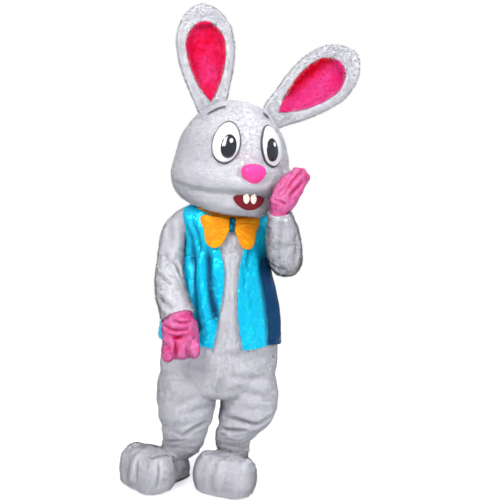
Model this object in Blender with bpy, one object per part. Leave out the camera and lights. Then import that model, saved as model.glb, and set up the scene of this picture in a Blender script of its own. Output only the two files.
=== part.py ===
"""Rabbit costume: a hollow plush suit, waistcoat, bow, gloves, feet and head, standing in its worn pose.

Heights in the tables are above the floor. The costume's front faces -Y and its own left side is +X.
The origin is between the wearer's shoulders, where the suit is held.
"""
import math
from collections import namedtuple

import bmesh
import bpy
import numpy as np
from mathutils import Matrix, Vector

# Driving sizes, in metres
SHOULDER_HEIGHT = 1.345
PLUSH = 0.003
SATIN = 0.0015
HEAD_WALL = 0.008
FOOT_WALL = 0.012
SEAM = 0.0003
SOLE_THICK = 0.010
VEST_HEM = 0.718
VEST_EASE = 0.0015
ARMHOLE_EASE = 0.006
HEAD_YAW = math.radians(10.0)
FAR = 1.0
MERGE = 0.00005

Section = namedtuple("Section", "height x y half_width front back")
HeadSection = namedtuple("HeadSection", "height x y half_width front back chin_drop")
Station = namedtuple("Station", "x y z wide deep")
Fold = namedtuple("Fold", "height azimuth tall wide lean depth")
Bulge = namedtuple("Bulge", "height azimuth tall wide amount")
EarRow = namedtuple("EarRow", "along half_width thick dish lining")
Opening = namedtuple("Opening", "height right left")
FootRow = namedtuple("FootRow", "along half_width height")
Toe = namedtuple("Toe", "aside along")
RimPoint = namedtuple("RimPoint", "aside out lining_share dish_share")
Patch = namedtuple("Patch", "azimuth height half_angle half_height dome smile base")

TORSO = [
    Section(0.440, 0.0, 0.0, 0.100, 0.090, 0.120),
    Section(0.466, 0.0, 0.0, 0.200, 0.160, 0.175),
    Section(0.520, 0.0, 0.0, 0.272, 0.190, 0.198),
    Section(0.580, 0.0, 0.0, 0.289, 0.200, 0.208),
    Section(0.650, 0.0, 0.0, 0.287, 0.200, 0.206),
    Section(0.720, 0.0, 0.0, 0.283, 0.201, 0.200),
    Section(0.800, 0.0, 0.0, 0.279, 0.203, 0.190),
    Section(0.890, 0.0, 0.0, 0.261, 0.198, 0.176),
    Section(0.970, 0.0, 0.0, 0.237, 0.188, 0.165),
    Section(1.040, 0.0, 0.0, 0.216, 0.177, 0.157),
    Section(1.120, 0.0, 0.0, 0.199, 0.166, 0.150),
    Section(1.200, 0.0, 0.0, 0.195, 0.157, 0.146),
    Section(1.260, 0.0, 0.0, 0.204, 0.149, 0.141),
    Section(1.305, 0.0, 0.0, 0.211, 0.137, 0.131),
    Section(1.338, 0.0, 0.0, 0.198, 0.122, 0.118),
    Section(1.370, 0.0, 0.0, 0.148, 0.105, 0.103),
    Section(1.386, 0.0, 0.0, 0.112, 0.095, 0.096),
    Section(1.412, 0.0, 0.0, 0.094, 0.085, 0.090),
]
LEG_RIGHT = [
    Section(0.560, -0.141, 0.000, 0.137, 0.166, 0.168),
    Section(0.470, -0.147, -0.005, 0.147, 0.160, 0.166),
    Section(0.410, -0.148, -0.010, 0.145, 0.152, 0.152),
    Section(0.350, -0.148, -0.012, 0.136, 0.144, 0.137),
    Section(0.310, -0.148, -0.012, 0.126, 0.134, 0.124),
    Section(0.280, -0.148, -0.010, 0.116, 0.120, 0.113),
    Section(0.250, -0.148, -0.008, 0.113, 0.119, 0.108),
    Section(0.222, -0.149, -0.002, 0.103, 0.106, 0.100),
    Section(0.198, -0.152, 0.010, 0.103, 0.106, 0.101),
    Section(0.176, -0.156, 0.020, 0.093, 0.095, 0.095),
    Section(0.158, -0.159, 0.026, 0.097, 0.099, 0.099),
]
LEG_LEFT = [
    Section(0.560, 0.145, -0.003, 0.136, 0.167, 0.168),
    Section(0.470, 0.154, -0.014, 0.147, 0.164, 0.166),
    Section(0.410, 0.158, -0.022, 0.143, 0.158, 0.152),
    Section(0.350, 0.153, -0.027, 0.137, 0.150, 0.138),
    Section(0.310, 0.140, -0.028, 0.128, 0.138, 0.126),
    Section(0.280, 0.122, -0.028, 0.110, 0.118, 0.112),
    Section(0.250, 0.105, -0.026, 0.103, 0.112, 0.106),
    Section(0.222, 0.094, -0.015, 0.090, 0.097, 0.095),
    Section(0.198, 0.094, -0.004, 0.092, 0.098, 0.096),
    Section(0.176, 0.098, 0.008, 0.086, 0.090, 0.090),
    Section(0.158, 0.101, 0.014, 0.091, 0.094, 0.093),
]
SLEEVE_RIGHT = [
    Station(-0.130, 0.000, 1.290, 0.066, 0.066),
    Station(-0.185, 0.000, 1.280, 0.072, 0.070),
    Station(-0.228, -0.002, 1.245, 0.074, 0.071),
    Station(-0.254, -0.012, 1.195, 0.069, 0.067),
    Station(-0.266, -0.038, 1.135, 0.064, 0.063),
    Station(-0.270, -0.085, 1.070, 0.067, 0.067),
    Station(-0.272, -0.134, 1.010, 0.074, 0.070),
    Station(-0.266, -0.176, 0.960, 0.076, 0.074),
    Station(-0.254, -0.214, 0.920, 0.079, 0.076),
    Station(-0.243, -0.242, 0.890, 0.080, 0.077),
    Station(-0.236, -0.256, 0.873, 0.077, 0.074),
]
SLEEVE_LEFT = [
    Station(0.130, 0.006, 1.290, 0.066, 0.066),
    Station(0.190, 0.008, 1.282, 0.072, 0.070),
    Station(0.238, 0.010, 1.250, 0.074, 0.070),
    Station(0.270, 0.010, 1.200, 0.072, 0.068),
    Station(0.280, -0.010, 1.155, 0.074, 0.068),
    Station(0.278, -0.060, 1.128, 0.080, 0.076),
    Station(0.266, -0.118, 1.132, 0.085, 0.082),
    Station(0.248, -0.166, 1.165, 0.089, 0.086),
    Station(0.232, -0.198, 1.215, 0.088, 0.085),
    Station(0.214, -0.234, 1.270, 0.079, 0.076),
    Station(0.196, -0.265, 1.320, 0.066, 0.064),
    Station(0.181, -0.285, 1.362, 0.054, 0.053),
]
GLOVE_RIGHT = {
    "hand": [
        Station(-0.232, -0.264, 0.848, 0.070, 0.080),
        Station(-0.225, -0.278, 0.812, 0.060, 0.086),
        Station(-0.219, -0.286, 0.772, 0.050, 0.086),
        Station(-0.216, -0.290, 0.738, 0.042, 0.076),
    ],
    "finger_outer": [
        Station(-0.268, -0.292, 0.775, 0.028, 0.028),
        Station(-0.272, -0.302, 0.735, 0.031, 0.031),
        Station(-0.274, -0.304, 0.702, 0.029, 0.029),
    ],
    "finger_middle": [
        Station(-0.218, -0.296, 0.770, 0.029, 0.028),
        Station(-0.219, -0.316, 0.738, 0.032, 0.030),
        Station(-0.218, -0.312, 0.718, 0.030, 0.028),
    ],
    "finger_inner": [
        Station(-0.168, -0.292, 0.776, 0.027, 0.027),
        Station(-0.163, -0.304, 0.742, 0.030, 0.029),
        Station(-0.160, -0.304, 0.720, 0.028, 0.028),
    ],
}
GLOVE_LEFT = {
    "hand": [
        Station(0.186, -0.296, 1.398, 0.048, 0.058),
        Station(0.202, -0.299, 1.440, 0.044, 0.062),
        Station(0.226, -0.290, 1.480, 0.042, 0.060),
        Station(0.248, -0.276, 1.508, 0.038, 0.050),
    ],
    "finger_outer": [
        Station(0.258, -0.270, 1.482, 0.026, 0.026),
        Station(0.282, -0.256, 1.506, 0.029, 0.028),
        Station(0.294, -0.250, 1.520, 0.027, 0.026),
    ],
    "finger_middle": [
        Station(0.248, -0.276, 1.494, 0.028, 0.027),
        Station(0.268, -0.264, 1.524, 0.030, 0.028),
        Station(0.276, -0.256, 1.538, 0.028, 0.026),
    ],
    "finger_inner": [
        Station(0.228, -0.288, 1.500, 0.026, 0.026),
        Station(0.242, -0.280, 1.528, 0.028, 0.027),
        Station(0.248, -0.274, 1.542, 0.026, 0.025),
    ],
}
LEGS = {"right": LEG_RIGHT, "left": LEG_LEFT}
SLEEVES = {"right": SLEEVE_RIGHT, "left": SLEEVE_LEFT}
GLOVES = {"right": GLOVE_RIGHT, "left": GLOVE_LEFT}
FINGERS = ("finger_outer", "finger_middle", "finger_inner")
SIDES = ("right", "left")
HEAD = [
    HeadSection(1.388, 0.0, 0.0, 0.118, 0.112, 0.118, 0.000),
    HeadSection(1.376, 0.0, 0.0, 0.152, 0.172, 0.150, 0.022),
    HeadSection(1.384, 0.0, 0.0, 0.208, 0.226, 0.196, 0.056),
    HeadSection(1.412, 0.0, 0.0, 0.250, 0.252, 0.228, 0.050),
    HeadSection(1.455, 0.0, 0.0, 0.276, 0.262, 0.247, 0.026),
    HeadSection(1.510, 0.0, 0.0, 0.285, 0.262, 0.256, 0.004),
    HeadSection(1.570, 0.0, 0.0, 0.275, 0.254, 0.258, 0.000),
    HeadSection(1.630, 0.0, 0.0, 0.260, 0.248, 0.256, 0.000),
    HeadSection(1.690, 0.0, 0.0, 0.242, 0.240, 0.246, 0.000),
    HeadSection(1.745, 0.0, 0.0, 0.209, 0.215, 0.217, 0.000),
    HeadSection(1.795, 0.0, 0.0, 0.166, 0.175, 0.175, 0.000),
    HeadSection(1.833, 0.0, 0.0, 0.112, 0.120, 0.118, 0.000),
    HeadSection(1.856, 0.0, 0.0, 0.056, 0.060, 0.060, 0.000),
]
HEAD_BULGES = [
    Bulge(1.478, 0.0, 0.050, 34.0, 0.050),
    Bulge(1.490, 62.0, 0.060, 26.0, 0.020),
    Bulge(1.490, -62.0, 0.060, 26.0, 0.020),
    Bulge(1.372, 0.0, 0.030, 30.0, 0.018),
]
# Creases pushed into the suit, and soft folds lifted out of the waistcoat
LEG_FOLDS = [
    Fold(0.318, -40.0, 0.016, 70.0, 0.00040, -0.010),
    Fold(0.268, 30.0, 0.013, 60.0, -0.00030, -0.007),
    Fold(0.330, 150.0, 0.016, 60.0, 0.00030, -0.009),
    Fold(0.212, 0.0, 0.011, 120.0, 0.00020, -0.006),
]
VEST_FOLDS = [
    Fold(1.180, -62.0, 0.200, 9.0, 0.0, 0.010),
    Fold(1.020, -40.0, 0.260, 9.0, 0.0, 0.011),
    Fold(0.860, -19.0, 0.220, 8.0, 0.0, 0.009),
    Fold(0.900, 24.0, 0.250, 9.0, 0.0, 0.008),
    Fold(0.860, 62.0, 0.230, 12.0, 0.0, 0.009),
    Fold(0.880, 122.0, 0.240, 13.0, 0.0, 0.008),
    Fold(0.960, 165.0, 0.280, 12.0, 0.0, 0.009),
    Fold(0.900, -150.0, 0.260, 13.0, 0.0, 0.008),
    Fold(0.880, -105.0, 0.230, 13.0, 0.0, 0.009),
]
# The waistcoat's front edges, right and left of the middle
VEST_OPENING = [
    Opening(0.600, -0.064, 0.072),
    Opening(0.720, -0.062, 0.069),
    Opening(0.800, -0.052, 0.050),
    Opening(0.895, -0.041, 0.036),
    Opening(1.057, -0.028, 0.034),
    Opening(1.170, -0.054, 0.052),
    Opening(1.260, -0.078, 0.078),
    Opening(1.340, -0.094, 0.094),
    Opening(1.500, -0.110, 0.110),
]
EAR = [
    EarRow(-0.090, 0.050, 0.046, 0.000, 0.12),
    EarRow(0.090, 0.078, 0.056, 0.003, 0.08),
    EarRow(0.170, 0.091, 0.058, 0.010, 0.34),
    EarRow(0.290, 0.110, 0.060, 0.017, 0.54),
    EarRow(0.440, 0.129, 0.060, 0.019, 0.64),
    EarRow(0.590, 0.137, 0.060, 0.019, 0.67),
    EarRow(0.700, 0.134, 0.058, 0.017, 0.64),
    EarRow(0.780, 0.124, 0.056, 0.012, 0.52),
    EarRow(0.825, 0.115, 0.054, 0.006, 0.26),
    EarRow(0.905, 0.091, 0.048, 0.000, 0.20),
    EarRow(0.963, 0.056, 0.038, 0.000, 0.16),
    EarRow(0.993, 0.024, 0.022, 0.000, 0.12),
]
LINING_ROWS = slice(1, 9)
# Round an ear's section: how far aside, how far out, and how much of the lining's width and the dish it takes
EAR_SECTION = [
    RimPoint(1.00, 0.00, 0.0, 0.0), RimPoint(0.93, 0.66, 0.0, 0.0), RimPoint(0.0, 0.80, 1.0, 0.0),
    RimPoint(0.0, 0.40, 0.60, 1.0), RimPoint(0.0, 0.32, 0.0, 1.25), RimPoint(0.0, 0.40, -0.60, 1.0),
    RimPoint(0.0, 0.80, -1.0, 0.0), RimPoint(-0.93, 0.66, 0.0, 0.0), RimPoint(-1.00, 0.00, 0.0, 0.0),
    RimPoint(-0.84, -0.60, 0.0, 0.0), RimPoint(-0.45, -0.92, 0.0, 0.0), RimPoint(0.0, -1.0, 0.0, 0.0),
    RimPoint(0.45, -0.92, 0.0, 0.0), RimPoint(0.84, -0.60, 0.0, 0.0),
]
LINING_COLUMNS = range(2, 7)
EAR_BASES = {"right": Vector((-0.112, 0.010, 1.800)), "left": Vector((0.172, -0.010, 1.792))}
EAR_TIPS = {"right": Vector((-0.184, 0.040, 2.284)), "left": Vector((0.545, -0.070, 2.112))}
EAR_LINING = 0.0025

# Each foot's ankle, and how far it points to the costume's right of straight ahead
FOOT_PLACES = {"right": (-0.202, 0.038, 54.0), "left": (0.115, 0.006, 28.0)}
FOOT_BODY = [
    FootRow(-0.090, 0.044, 0.080),
    FootRow(-0.074, 0.068, 0.102),
    FootRow(-0.035, 0.082, 0.124),
    FootRow(0.020, 0.090, 0.150),
    FootRow(0.075, 0.110, 0.164),
    FootRow(0.125, 0.110, 0.150),
    FootRow(0.150, 0.080, 0.110),
]
TOES = [Toe(-0.096, 0.148), Toe(0.0, 0.168), Toe(0.096, 0.148)]
TOE_HALF_WIDTH = 0.059
TOE_HALF_LENGTH = 0.084
# Up a toe: each ring's height and its share of the half width and length
TOE_RINGS = [(0.0125, 0.82), (0.050, 0.99), (0.105, 0.98), (0.150, 0.84), (0.180, 0.58)]
TOE_TOP = 0.202
FOOT_BELOW = 0.030
HEM_TILT = 0.30
HEM_TILT_FROM = 0.290
HEM_TILT_TO = 0.180

# Face pieces: where each lies on the head, its half sizes in degrees and metres, and its thickness
EYES = Patch(25.5, 1.650, 13.8, 0.090, 0.012, 0.0, 0.004)
PUPILS = Patch(22.5, 1.632, 7.4, 0.052, 0.003, 0.0, 0.0155)
MOUTH = Patch(0.0, 1.392, 15.0, 0.032, 0.002, 0.5, 0.004)
TEETH = Patch(3.4, 1.410, 3.0, 0.024, 0.003, 0.0, 0.0065)
NOSE_PLACE = (0.0, 1.515)
NOSE_RADII = Vector((0.056, 0.040, 0.044))

BOW_OUTLINE = [
    (0.010, 0.020), (0.040, 0.030), (0.090, 0.034), (0.126, 0.038), (0.144, 0.024),
    (0.141, 0.000), (0.128, -0.026), (0.124, -0.050), (0.116, -0.086), (0.094, -0.106),
    (0.066, -0.106), (0.044, -0.088), (0.026, -0.052), (0.012, -0.020),
]
BOW_CENTRE = Vector((-0.006, -0.156, 1.284))
BOW_THICK = 0.016
BOW_CURVE = 1.9


def new_object(name, points, faces, collection):
    """A mesh object from points and faces, its faces turned outwards."""
    mesh = bpy.data.meshes.new(name)
    mesh.from_pydata([tuple(p) for p in points], [], faces)
    shape = bmesh.new()
    shape.from_mesh(mesh)
    bmesh.ops.recalc_face_normals(shape, faces=shape.faces)
    shape.to_mesh(mesh)
    shape.free()
    made = bpy.data.objects.new(name, mesh)
    collection.objects.link(made)
    made.parent = FRAME
    return made


def strip_faces(first, second, count):
    """Two triangles for each gap between two closed rings of points."""
    faces = []
    for k in range(count):
        after = (k + 1) % count
        faces.append((first + k, first + after, second + after))
        faces.append((first + k, second + after, second + k))
    return faces


def closed_form(name, grid, collection):
    """A solid through the rings of a grid, with a pole closing each end."""
    rings, count = grid.shape[:2]
    points = [*grid.reshape(-1, 3), grid[0].mean(axis=0), grid[-1].mean(axis=0)]
    bottom, top = rings * count, rings * count + 1
    faces = []
    for r in range(rings - 1):
        faces += strip_faces(r * count, (r + 1) * count, count)
    for k in range(count):
        after = (k + 1) % count
        faces.append((bottom, after, k))
        faces.append((top, (rings - 1) * count + k, (rings - 1) * count + after))
    return new_object(name, points, faces, collection)


def open_wall(name, outer, inner, collection):
    """A wall between two grids of the same size, open at both ends."""
    rings, count = outer.shape[:2]
    points = [*outer.reshape(-1, 3), *inner.reshape(-1, 3)]
    inside = rings * count
    faces = []
    for r in range(rings - 1):
        faces += strip_faces(r * count, (r + 1) * count, count)
        faces += strip_faces(inside + r * count, inside + (r + 1) * count, count)
    last = (rings - 1) * count
    faces += strip_faces(inside, 0, count)
    faces += strip_faces(last, inside + last, count)
    return new_object(name, points, faces, collection)


def normals_of(grid):
    """Unit normals of a grid of rings, pointing out of it."""
    around = np.roll(grid, -1, axis=1) - np.roll(grid, 1, axis=1)
    along = np.gradient(grid, axis=0)
    normals = np.cross(around, along)
    if ((grid - grid.mean(axis=1, keepdims=True)) * normals).sum() < 0:
        normals = -normals
    return normals / np.maximum(np.linalg.norm(normals, axis=2, keepdims=True), 1e-9)


def offset(grid, distance):
    """A grid moved out along its own normals by one distance, or by one for each point."""
    return grid + normals_of(grid) * (distance if np.isscalar(distance) else distance[:, :, None])


def azimuths(count, crowd=0.0):
    """Angles round a section from the front, in degrees to the costume's left, crowded to the front."""
    even = -180.0 + (np.arange(count) + 0.5) * 360.0 / count
    return even - crowd * np.degrees(np.sin(np.radians(even)))


def upright_grid(rows, angles):
    """Rings at each row's height. Azimuth 0 is the front, -Y, and 90 is +X."""
    grid = np.zeros((len(rows), len(angles), 3))
    turn = np.radians(angles)
    for i, row in enumerate(rows):
        depth = np.where(np.cos(turn) > 0, row.front, row.back)
        grid[i, :, 0] = row.x + row.half_width * np.sin(turn)
        grid[i, :, 1] = row.y - depth * np.cos(turn)
        grid[i, :, 2] = row.height
    return grid


def relief(grid, angles, table):
    """How far each point of an upright grid moves out for a table of folds or bulges."""
    moved = np.zeros(grid.shape[:2])
    for row in table:
        lean = getattr(row, "lean", 0.0)
        depth = getattr(row, "depth", None) or row.amount
        aside = (angles[None, :] - row.azimuth + 180.0) % 360.0 - 180.0
        above = grid[:, :, 2] - row.height - lean * aside
        moved += depth * np.exp(-(above / row.tall) ** 2 - (aside / row.wide) ** 2)
    return moved


def tube_grid(stations, count, side=Vector((0, 1, 0))):
    """Rings across a centreline, turned from one to the next without twist."""
    centres = [Vector((s.x, s.y, s.z)) for s in stations]
    grid = np.zeros((len(stations), count, 3))
    for i, station in enumerate(stations):
        tangent = centres[min(i + 1, len(centres) - 1)] - centres[max(i - 1, 0)]
        tangent.normalize()
        side = (side - tangent * side.dot(tangent)).normalized()
        across = tangent.cross(side)
        for k in range(count):
            turn = 2 * math.pi * k / count
            grid[i, k] = (centres[i] + side * station.wide * math.cos(turn)
                          + across * station.deep * math.sin(turn))
    return grid


def lengthened(grid, start, end):
    """The grid with one more ring past its start, past its end, or past both, to run out of an opening."""
    made = [grid]
    if start:
        out = grid[0].mean(axis=0) - grid[1].mean(axis=0)
        made.insert(0, (grid[0] + out / np.linalg.norm(out) * start)[None])
    if end:
        out = grid[-1].mean(axis=0) - grid[-2].mean(axis=0)
        made.append((grid[-1] + out / np.linalg.norm(out) * end)[None])
    return np.concatenate(made)


def rounded(grid, ends=(True, True)):
    """The grid with one smaller ring past a rounded end, or past both."""
    made = [grid]
    if ends[0]:
        middle = grid[0].mean(axis=0)
        out = middle - grid[1].mean(axis=0)
        size = np.linalg.norm(grid[0] - middle, axis=1).mean()
        made.insert(0, (middle + (grid[0] - middle) * 0.62 + out / np.linalg.norm(out) * size * 0.62)[None])
    if ends[1]:
        middle = grid[-1].mean(axis=0)
        out = middle - grid[-2].mean(axis=0)
        size = np.linalg.norm(grid[-1] - middle, axis=1).mean()
        made.append((middle + (grid[-1] - middle) * 0.62 + out / np.linalg.norm(out) * size * 0.62)[None])
    return np.concatenate(made)


def boolean(target, other, operation="DIFFERENCE"):
    """A live exact Boolean of one object with another."""
    modifier = target.modifiers.new(other.name, "BOOLEAN")
    modifier.operation = operation
    modifier.solver = "EXACT"
    modifier.object = other
    return target


def settled(obj):
    """The object with its modifiers worked into its mesh."""
    graph = bpy.context.evaluated_depsgraph_get()
    mesh = bpy.data.meshes.new_from_object(obj.evaluated_get(graph))
    shape = bmesh.new()
    shape.from_mesh(mesh)
    bmesh.ops.triangulate(shape, faces=shape.faces)
    bmesh.ops.dissolve_degenerate(shape, edges=shape.edges, dist=MERGE)
    bmesh.ops.remove_doubles(shape, verts=shape.verts, dist=MERGE)
    bmesh.ops.triangulate(shape, faces=shape.faces)
    shape.to_mesh(mesh)
    shape.free()
    obj.modifiers.clear()
    obj.data = mesh
    return obj


def box(name, low, high):
    """A cutter between two corners, in heights above the floor."""
    bpy.ops.mesh.primitive_cube_add(size=1.0)
    made = bpy.context.object
    made.name = name
    low, high = Vector(low), Vector(high)
    size = high - low
    made.data.transform(Matrix.Translation((low + high) / 2) @ Matrix.Diagonal((*size, 1.0)))
    to_collection(made, CUTTERS)
    return made


def ball(name, centre, radii, collection, turn=None, segments=16, rings=10):
    """A stretched sphere, turned about its centre."""
    bpy.ops.mesh.primitive_uv_sphere_add(segments=segments, ring_count=rings, radius=1.0)
    made = bpy.context.object
    made.name = name
    place = Matrix.Translation(centre) @ (turn or Matrix.Identity(4)) @ Matrix.Diagonal((*radii, 1.0))
    made.data.transform(place)
    to_collection(made, collection)
    return made


def to_collection(obj, collection):
    """Moves an object from the scene's collection, and parents it to the costume's frame."""
    for old in list(obj.users_collection):
        old.objects.unlink(obj)
    collection.objects.link(obj)
    obj.parent = FRAME


def material(name, colour, roughness, metallic=0.0):
    """A plain Principled material."""
    made = bpy.data.materials.new(name)
    made.use_nodes = True
    shader = made.node_tree.nodes["Principled BSDF"]
    shader.inputs["Base Color"].default_value = (*colour, 1.0)
    shader.inputs["Roughness"].default_value = roughness
    shader.inputs["Metallic"].default_value = metallic
    return made


def finish(obj, look, smooth=True):
    """Dresses a piece in its material."""
    obj.data.materials.clear()
    obj.data.materials.append(look)
    if smooth:
        obj.data.shade_smooth()
    return obj


def copy_of(obj, name, collection):
    """Another object with its own copy of a mesh."""
    made = bpy.data.objects.new(name, obj.data.copy())
    collection.objects.link(made)
    made.parent = FRAME
    return made


def torso_grid(grow=0.0):
    """The torso's surface, its columns crowded to the front."""
    return offset(upright_grid(TORSO, TORSO_ANGLES), grow)


def leg_grid(side, grow=0.0):
    """A leg's surface, with the creases of its slack cloth and its hem higher over the instep."""
    angles = azimuths(LEG_COLUMNS)
    grid = upright_grid(LEGS[side], angles)
    grid = offset(grid, relief(grid, angles, LEG_FOLDS))
    heading = math.radians(FOOT_PLACES[side][2])
    middles = grid.mean(axis=1, keepdims=True)
    ahead = -(grid - middles)[:, :, 0] * math.sin(heading) - (grid - middles)[:, :, 1] * math.cos(heading)
    low = np.clip((HEM_TILT_FROM - grid[:, :, 2]) / (HEM_TILT_FROM - HEM_TILT_TO), 0.0, 1.0)
    grid[:, :, 2] += HEM_TILT * ahead * low
    return offset(grid, grow)


def ankle_grid(side, grow):
    """An ankle's surface inside its leg's hem, drawn in below it to the middle of the foot."""
    collar = leg_grid(side, grow)[-ANKLE_RINGS:]
    middle = collar[-1].mean(axis=0)
    foot = np.array([*FOOT_PLACES[side][:2], middle[2] - ANKLE_DROP])
    low = foot + (collar[-1] - middle) * ANKLE_NARROW
    return np.concatenate([collar, low[None]])


def arm_grid(side, grow=0.0):
    """An arm's surface along its sleeve and on into its glove's hand."""
    return offset(tube_grid(SLEEVES[side] + GLOVES[side]["hand"], ARM_COLUMNS), grow)


def head_grid(grow=0.0):
    """The head's surface from its neck rim to its crown, turned to the side it looks to."""
    angles = azimuths(HEAD_COLUMNS)
    rows = [Section(*row[:6]) for row in HEAD]
    grid = upright_grid(rows, angles)
    forward = (0.5 + 0.5 * np.cos(np.radians(angles))) ** 2
    grid[:, :, 2] -= np.array([row.chin_drop for row in HEAD])[:, None] * forward
    grid = offset(grid, relief(grid, angles, HEAD_BULGES))
    grid = offset(grid, grow)
    turned = np.array(Matrix.Rotation(HEAD_YAW, 3, "Z"))
    return grid @ turned.T


def build_suit():
    """The suit: four panels from neck to ankle and two sleeves, all one hollow wall cut at its seams."""
    shell = closed_form("suit_outer", torso_grid(), CUTTERS)
    for side in SIDES:
        boolean(shell, closed_form(f"leg_outer_{side}", leg_grid(side), CUTTERS), "UNION")
    settled(shell)
    inner = lengthened(torso_grid(-PLUSH), 0.0, 0.05)
    boolean(shell, closed_form("torso_inner", inner, CUTTERS))
    for side in SIDES:
        inner = lengthened(leg_grid(side, -PLUSH), 0.0, 0.05)
        boolean(shell, closed_form(f"leg_inner_{side}", inner, CUTTERS))
    for side in SIDES:
        inner = arm_grid(side, -PLUSH)[:4]
        boolean(shell, closed_form(f"armhole_{side}", inner, CUTTERS))
    settled(shell)
    half = SEAM / 2
    for side, low_x, high_x in (("right", -FAR, -half), ("left", half, FAR)):
        for face, low_y, high_y in (("front", -FAR, -half), ("back", half, FAR)):
            panel = copy_of(shell, f"suit_{face}_{side}", PARTS)
            room = box(f"quarter_{face}_{side}", (low_x, low_y, -FAR), (high_x, high_y, 3 * FAR))
            finish(boolean(panel, room, "INTERSECT"), WHITE_PLUSH)
    for side in SIDES:
        count = len(SLEEVES[side])
        sleeve = open_wall(f"sleeve_{side}", arm_grid(side)[:count], arm_grid(side, -PLUSH)[:count], PARTS)
        grown = closed_form(f"torso_seat_{side}", torso_grid(SEAM), CUTTERS)
        finish(boolean(sleeve, grown), WHITE_PLUSH)


def build_vest():
    """The waistcoat: two fronts and a back, lying on the suit."""
    grid = torso_grid()
    lift = VEST_EASE + relief(grid, TORSO_ANGLES, VEST_FOLDS)
    fade = np.clip((1.36 - grid[:, :, 2]) / 0.10, 0.0, 1.0)
    inner = offset(grid, SEAM + lift * fade)
    outer = offset(inner, SATIN)
    keep = slice(4, len(TORSO))
    shell = open_wall("vest_shell", outer[keep], inner[keep], CUTTERS)
    hem = box("vest_hem", (-FAR, -FAR, -FAR), (FAR, FAR, VEST_HEM))
    boolean(shell, hem)
    edge = [Vector((row.right, 0.0, row.height)) for row in VEST_OPENING]
    edge += [Vector((row.left, 0.0, row.height)) for row in reversed(VEST_OPENING)]
    points = [p + Vector((0, y, 0)) for y in (-0.4, -0.02) for p in edge]
    count = len(edge)
    faces = [tuple(range(count)), tuple(range(2 * count - 1, count - 1, -1))]
    faces += [(k, (k + 1) % count, count + (k + 1) % count, count + k) for k in range(count)]
    boolean(shell, new_object("vest_opening", points, faces, CUTTERS))
    bpy.ops.mesh.primitive_cylinder_add(vertices=24, radius=1.0, depth=0.4)
    neck = bpy.context.object
    neck.name = "vest_neck"
    neck.data.transform(Matrix.Translation((0, 0.004, 1.45)) @ Matrix.Diagonal((0.128, 0.112, 1.0, 1.0)))
    to_collection(neck, CUTTERS)
    boolean(shell, neck)
    for side in SIDES:
        arm = arm_grid(side, ARMHOLE_EASE)[:ARMHOLE_RINGS[side]]
        boolean(shell, closed_form(f"vest_armhole_{side}", arm, CUTTERS))
    settled(shell)
    half = SEAM / 2
    for name, low, high in (("vest_front_right", (-FAR, -FAR, 0), (-half, -half, 2)),
                            ("vest_front_left", (half, -FAR, 0), (FAR, -half, 2)),
                            ("vest_back", (-FAR, half, 0), (FAR, FAR, 2))):
        panel = copy_of(shell, name, PARTS)
        finish(boolean(panel, box(f"room_{name}", low, high), "INTERSECT"), BLUE_SATIN)
    return closed_form("vest_seat", offset(inner, SATIN + SEAM), CUTTERS)


def cap_wall(name, outer, inner, collection):
    """A wall between two grids, open at their first rings and closed over at their last."""
    rings, count = outer.shape[:2]
    points = [*outer.reshape(-1, 3), *inner.reshape(-1, 3), outer[-1].mean(axis=0), inner[-1].mean(axis=0)]
    inside = rings * count
    faces = []
    for r in range(rings - 1):
        faces += strip_faces(r * count, (r + 1) * count, count)
        faces += strip_faces(inside + r * count, inside + (r + 1) * count, count)
    faces += strip_faces(inside, 0, count)
    last = (rings - 1) * count
    for k in range(count):
        after = (k + 1) % count
        faces.append((2 * inside, last + k, last + after))
        faces.append((2 * inside + 1, inside + last + k, inside + last + after))
    return new_object(name, points, faces, collection)


def on_head(azimuth, height):
    """A point of the head's surface and the direction out of it there."""
    grid = head_grid()
    normals = normals_of(grid)
    place = (azimuth + 180.0) / 360.0 * HEAD_COLUMNS - 0.5
    k = int(math.floor(place)) % HEAD_COLUMNS
    share = place - math.floor(place)
    after = (k + 1) % HEAD_COLUMNS
    points = grid[:, k] * (1 - share) + grid[:, after] * share
    outs = normals[:, k] * (1 - share) + normals[:, after] * share
    for r in range(len(points) - 1, 0, -1):
        high, low = points[r][2], points[r - 1][2]
        if high >= height >= low:
            t = (height - low) / (high - low)
            point = points[r] * t + points[r - 1] * (1 - t)
            out = outs[r] * t + outs[r - 1] * (1 - t)
            return Vector(point), Vector(out).normalized()
    return Vector(points[-1]), Vector((0.0, 0.0, 1.0))


def face_patch(name, patch, side, grow, collection, columns=16, rings=2):
    """A domed piece lying on the head, made from points of the head moved out."""
    tops, bottoms = [], []
    for r in range(rings, 0, -1):
        share = r / rings
        for k in range(columns):
            turn = 2 * math.pi * k / columns
            across = share * math.cos(turn)
            up = share * math.sin(turn) + patch.smile * across * across
            azimuth = side * patch.azimuth + patch.half_angle * across * (1 + grow * 20)
            point, out = on_head(azimuth, patch.height + patch.half_height * up)
            dome = patch.dome * math.sqrt(max(0.0, 1 - share * share * 0.98))
            tops.append(point + out * (patch.base + dome + grow))
            bottoms.append(point - out * 0.004)
    point, out = on_head(side * patch.azimuth, patch.height)
    points = tops + bottoms + [point + out * (patch.base + patch.dome + grow), point - out * 0.004]
    under = rings * columns
    faces = strip_faces(0, under, columns)
    for level in (0, under):
        for r in range(rings - 1):
            faces += strip_faces(level + r * columns, level + (r + 1) * columns, columns)
        last = level + (rings - 1) * columns
        pole = 2 * under + (1 if level else 0)
        faces += [(pole, last + k, last + (k + 1) % columns) for k in range(columns)]
    return new_object(name, points, faces, collection)


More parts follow.
